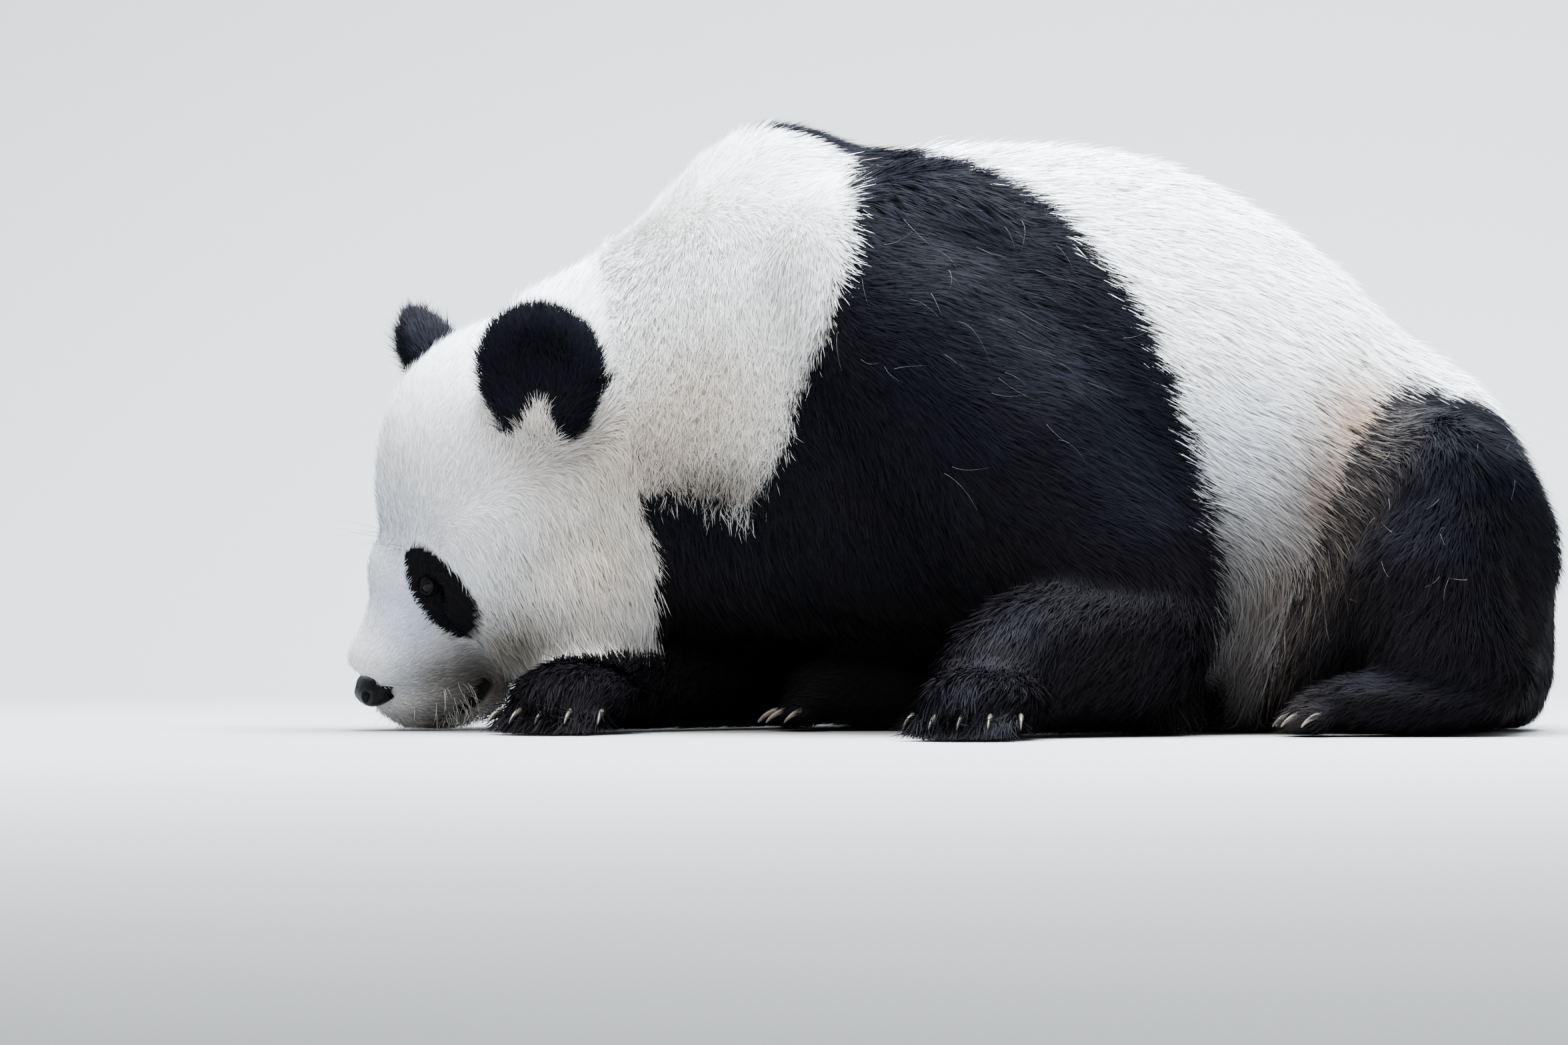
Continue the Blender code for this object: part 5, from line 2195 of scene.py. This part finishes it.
@dataclass
class LooseHairs:
    """Long single hairs over the coat, each a thin bent tube."""

    skin: Skin
    random: np.random.Generator = field(default_factory=lambda: np.random.default_rng(SEED + 1))
    steps: int = 7
    sides: int = 3
    outward: float = 0.45  # how much the skin's normal turns the hairs outward
    laid: float = 0.85  # how much of that is taken back where hairs lie along the coat
    sag: float = 0.12
    taper: float = 0.75
    floor: float = 0.0015
    pale_from: float = 0.4  # hairs lighter than this wear the white coat's finish

    def build(self) -> None:
        """Makes every bunch."""
        for bunch in HAIR_BUNCHES:
            self.bunch(bunch)

    def roots(self, bunch: HairBunch) -> tuple[np.ndarray, np.ndarray]:
        """Picks places on the skin inside the bunch's reach.

        Args:
            bunch: The bunch.
        Returns:
            Places and the skin's normals there.
        """
        points, normals = corners_of(self.skin.thing), normals_of(self.skin.thing)
        spots = self.skin.folded(points) if bunch.on_head else points - ROW_SHIFT
        away = np.linalg.norm((spots - np.array(bunch.middle)) / np.array(bunch.reach), axis=1)
        chosen = self.random.choice(np.flatnonzero(away < 1.0), bunch.count)
        return points[chosen], normals[chosen]

    def bunch(self, bunch: HairBunch) -> bpy.types.Object:
        """Makes and dresses one bunch.

        Args:
            bunch: The bunch.
        Returns:
            The hairs, joined.
        """
        roots, normals = self.roots(bunch)
        random, count = self.random, bunch.count
        way = np.array(bunch.way) + normals * self.outward
        way = way + random.normal(size=(count, 3)) * bunch.spread
        if bunch.rise:
            way -= normals * np.sum(way * normals, axis=1, keepdims=True) * self.laid
        way = unit(way)
        curl = unit(np.cross(way, random.normal(size=(count, 3))))
        length = random.uniform(*bunch.length, size=count)
        share = np.linspace(0.0, 1.0, self.steps)
        reach = length[:, None] * share
        swing = (bunch.curl * random.uniform(0.2, 1.0, size=count) * length)[:, None] * share**2
        line = (roots + normals * bunch.rise)[:, None] + way[:, None] * reach[:, :, None]
        line += curl[:, None] * swing[:, :, None]
        line[:, :, 2] -= self.sag * length[:, None] * share**2
        line[:, :, 2] = np.maximum(line[:, :, 2], self.floor)
        first = unit(np.cross(way, (0.31, 0.52, 0.79)))
        second = np.cross(way, first)
        width = bunch.width / 2 * (1.0 - self.taper * share)
        corners = []
        for turn in np.arange(self.sides) * (2 * math.pi / self.sides):
            out = first * math.cos(turn) + second * math.sin(turn)
            corners.append(line + out[:, None] * width[None, :, None])
        corners = np.stack(corners, axis=2).reshape(-1, 3)
        index = np.arange(len(corners)).reshape(count, self.steps, self.sides)
        low, high = index[:, :-1], index[:, 1:]
        faces = []
        for side in range(self.sides):
            after = (side + 1) % self.sides
            quads = (low[..., side], low[..., after], high[..., after], high[..., side])
            faces.append(np.stack(quads, axis=2).reshape(-1, 4))
        hairs = mesh_object(bunch.name, corners, np.concatenate(faces))
        tint = np.array(bunch.colour) * random.uniform(0.75, 1.1, size=(count, 1))
        paint(hairs, np.repeat(tint, self.steps * self.sides, axis=0))
        shade_smooth(hairs)
        with editing(hairs):
            bpy.ops.mesh.normals_make_consistent(inside=False)
            bpy.ops.uv.smart_project(angle_limit=UNWRAP_ANGLE, island_margin=UNWRAP_MARGIN)
        hairs.data.uv_layers[0].name = BAKE_UV
        coat = CoatKind.WHITE if sum(bunch.colour) > self.pale_from else CoatKind.BLACK
        finish_piece(hairs, hair_material(coat.value), Slot[coat.name])
        return hairs


@dataclass
class Claws:
    """Five curved claws of one foot, smoothed from their solids."""

    foot: str
    drawn_back: float = 0.0  # how far they are drawn into the hair of the foot
    tone: float = 1.0
    count: int = 5
    levels: int = 2

    def build(self) -> bpy.types.Object:
        """Makes and dresses the claws of the foot.

        Returns:
            The claws, joined.
        """
        names = [f"claw_{self.foot}_{number}" for number in range(1, self.count + 1)]
        claws = joined([copy_of(name) for name in names], "claws_" + self.foot)
        with editing(claws):
            bpy.ops.mesh.remove_doubles(threshold=WELD_DISTANCE)
            bpy.ops.mesh.tris_convert_to_quads()
        subdivide(claws, self.levels)
        low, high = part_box(self.foot)
        points = corners_of(claws)
        back = middle_of(low, high) - points.mean(axis=0)
        back[2] = 0.25 * np.linalg.norm(back[:2])
        place_corners(claws, points + unit(back) * self.drawn_back)
        shade_smooth(claws)
        finish_piece(claws, HornFinish(claws.name, self.tone).material(), Slot.CLAW, *names)
        return claws


# The studio


@dataclass(frozen=True)
class Lamp:
    """A square soft light: its place, power, side and colour."""

    name: str
    place: Triple
    energy: float
    size: float
    colour: Triple


LAMPS = (
    Lamp("key light", (-1.4, -3.0, 4.0), 380.0, 2.6, (1.0, 0.985, 0.96)),
    Lamp("top light", (0.3, 0.1, 3.2), 1480.0, 2.6, (0.83, 0.915, 1.0)),
    Lamp("rim light", (1.6, 2.2, 2.4), 140.0, 1.6, (0.95, 0.98, 1.0)),
)


@dataclass
class Studio:
    """Pale seamless floor, soft lights and the camera."""

    floor_side: float = 9.0
    floor_front: float = -9.6
    wall_at: float = 1.9
    wall_round: float = 0.9
    wall_height: float = 0.98
    wall_steps: int = 16
    air: Triple = (0.92, 0.96, 1.0)
    air_strength: float = 0.50
    lit: Triple = (0.0, 0.1, 0.25)  # where the lights point
    target: Triple = (-0.1676, 0.1139, 0.2022)
    distance: float = 9.5
    frame_width: float = 1.5288
    sensor: float = 36.0
    clip_end: float = 60.0

    def build(self) -> None:
        """Builds the floor, the lights and the camera."""
        self.floor()
        self.lights()
        self.camera()

    def floor(self) -> None:
        """A floor that curves up into a backdrop."""
        profile = [(self.floor_front, 0.0), (self.wall_at, 0.0)]
        for step in range(1, self.wall_steps + 1):
            angle = math.pi / 2 * step / self.wall_steps
            along = self.wall_at + self.wall_round * math.sin(angle)
            profile.append((along, self.wall_round * (1 - math.cos(angle))))
        profile.append((self.wall_at + self.wall_round, self.wall_height))
        corners = []
        for along, height in profile:
            corners += [(-self.floor_side, along, height), (self.floor_side, along, height)]
        faces = [(row, row + 1, row + 3, row + 2) for row in range(0, len(corners) - 2, 2)]
        sheet = mesh_object("studio_floor", np.array(corners), faces)
        shade_smooth(sheet)
        sheet.data.materials.append(FloorFinish().material())

    def lights(self) -> None:
        """A broad soft light from above and in front, a weak one behind, and a pale sky."""
        world = bpy.data.worlds.new("studio air")
        bpy.context.scene.world = world
        world.use_nodes = True
        set_inputs(
            world.node_tree.nodes["Background"], Color=(*self.air, 1.0), Strength=self.air_strength
        )
        for row in LAMPS:
            light = bpy.data.lights.new(row.name, "AREA")
            light.color = row.colour
            light.energy = row.energy
            light.size = row.size
            lamp = bpy.data.objects.new(row.name, light)
            lamp.location = row.place
            aim = Vector(self.lit) - Vector(row.place)
            lamp.rotation_euler = aim.to_track_quat("-Z", "Y").to_euler()
            bpy.context.scene.collection.objects.link(lamp)

    def camera(self) -> None:
        """A long lens, level with the body, square to its left side."""
        lens = bpy.data.cameras.new("camera")
        lens.lens = self.sensor * self.distance / self.frame_width
        lens.sensor_width = self.sensor
        lens.clip_end = self.clip_end
        camera = bpy.data.objects.new("camera", lens)
        camera.location = (self.target[0], self.target[1] - self.distance, self.target[2])
        camera.rotation_euler = (math.pi / 2, 0.0, 0.0)
        bpy.context.scene.collection.objects.link(camera)
        bpy.context.scene.camera = camera


def main() -> None:
    """Builds the panda and its studio."""
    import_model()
    skin = Skin()
    skin.build()
    skin.dress()
    Coat(skin).build()
    for place in EYES:
        Eye(place).build()
    Nose().build()
    LooseHairs(skin).build()
    for foot in FOREPAWS:
        Claws(foot, drawn_back=0.011, tone=0.45).build()
    Claws("hindfoot_left", drawn_back=0.004).build()
    Claws("hindfoot_right").build()
    Studio().build()


if __name__ == "__main__":
    main()
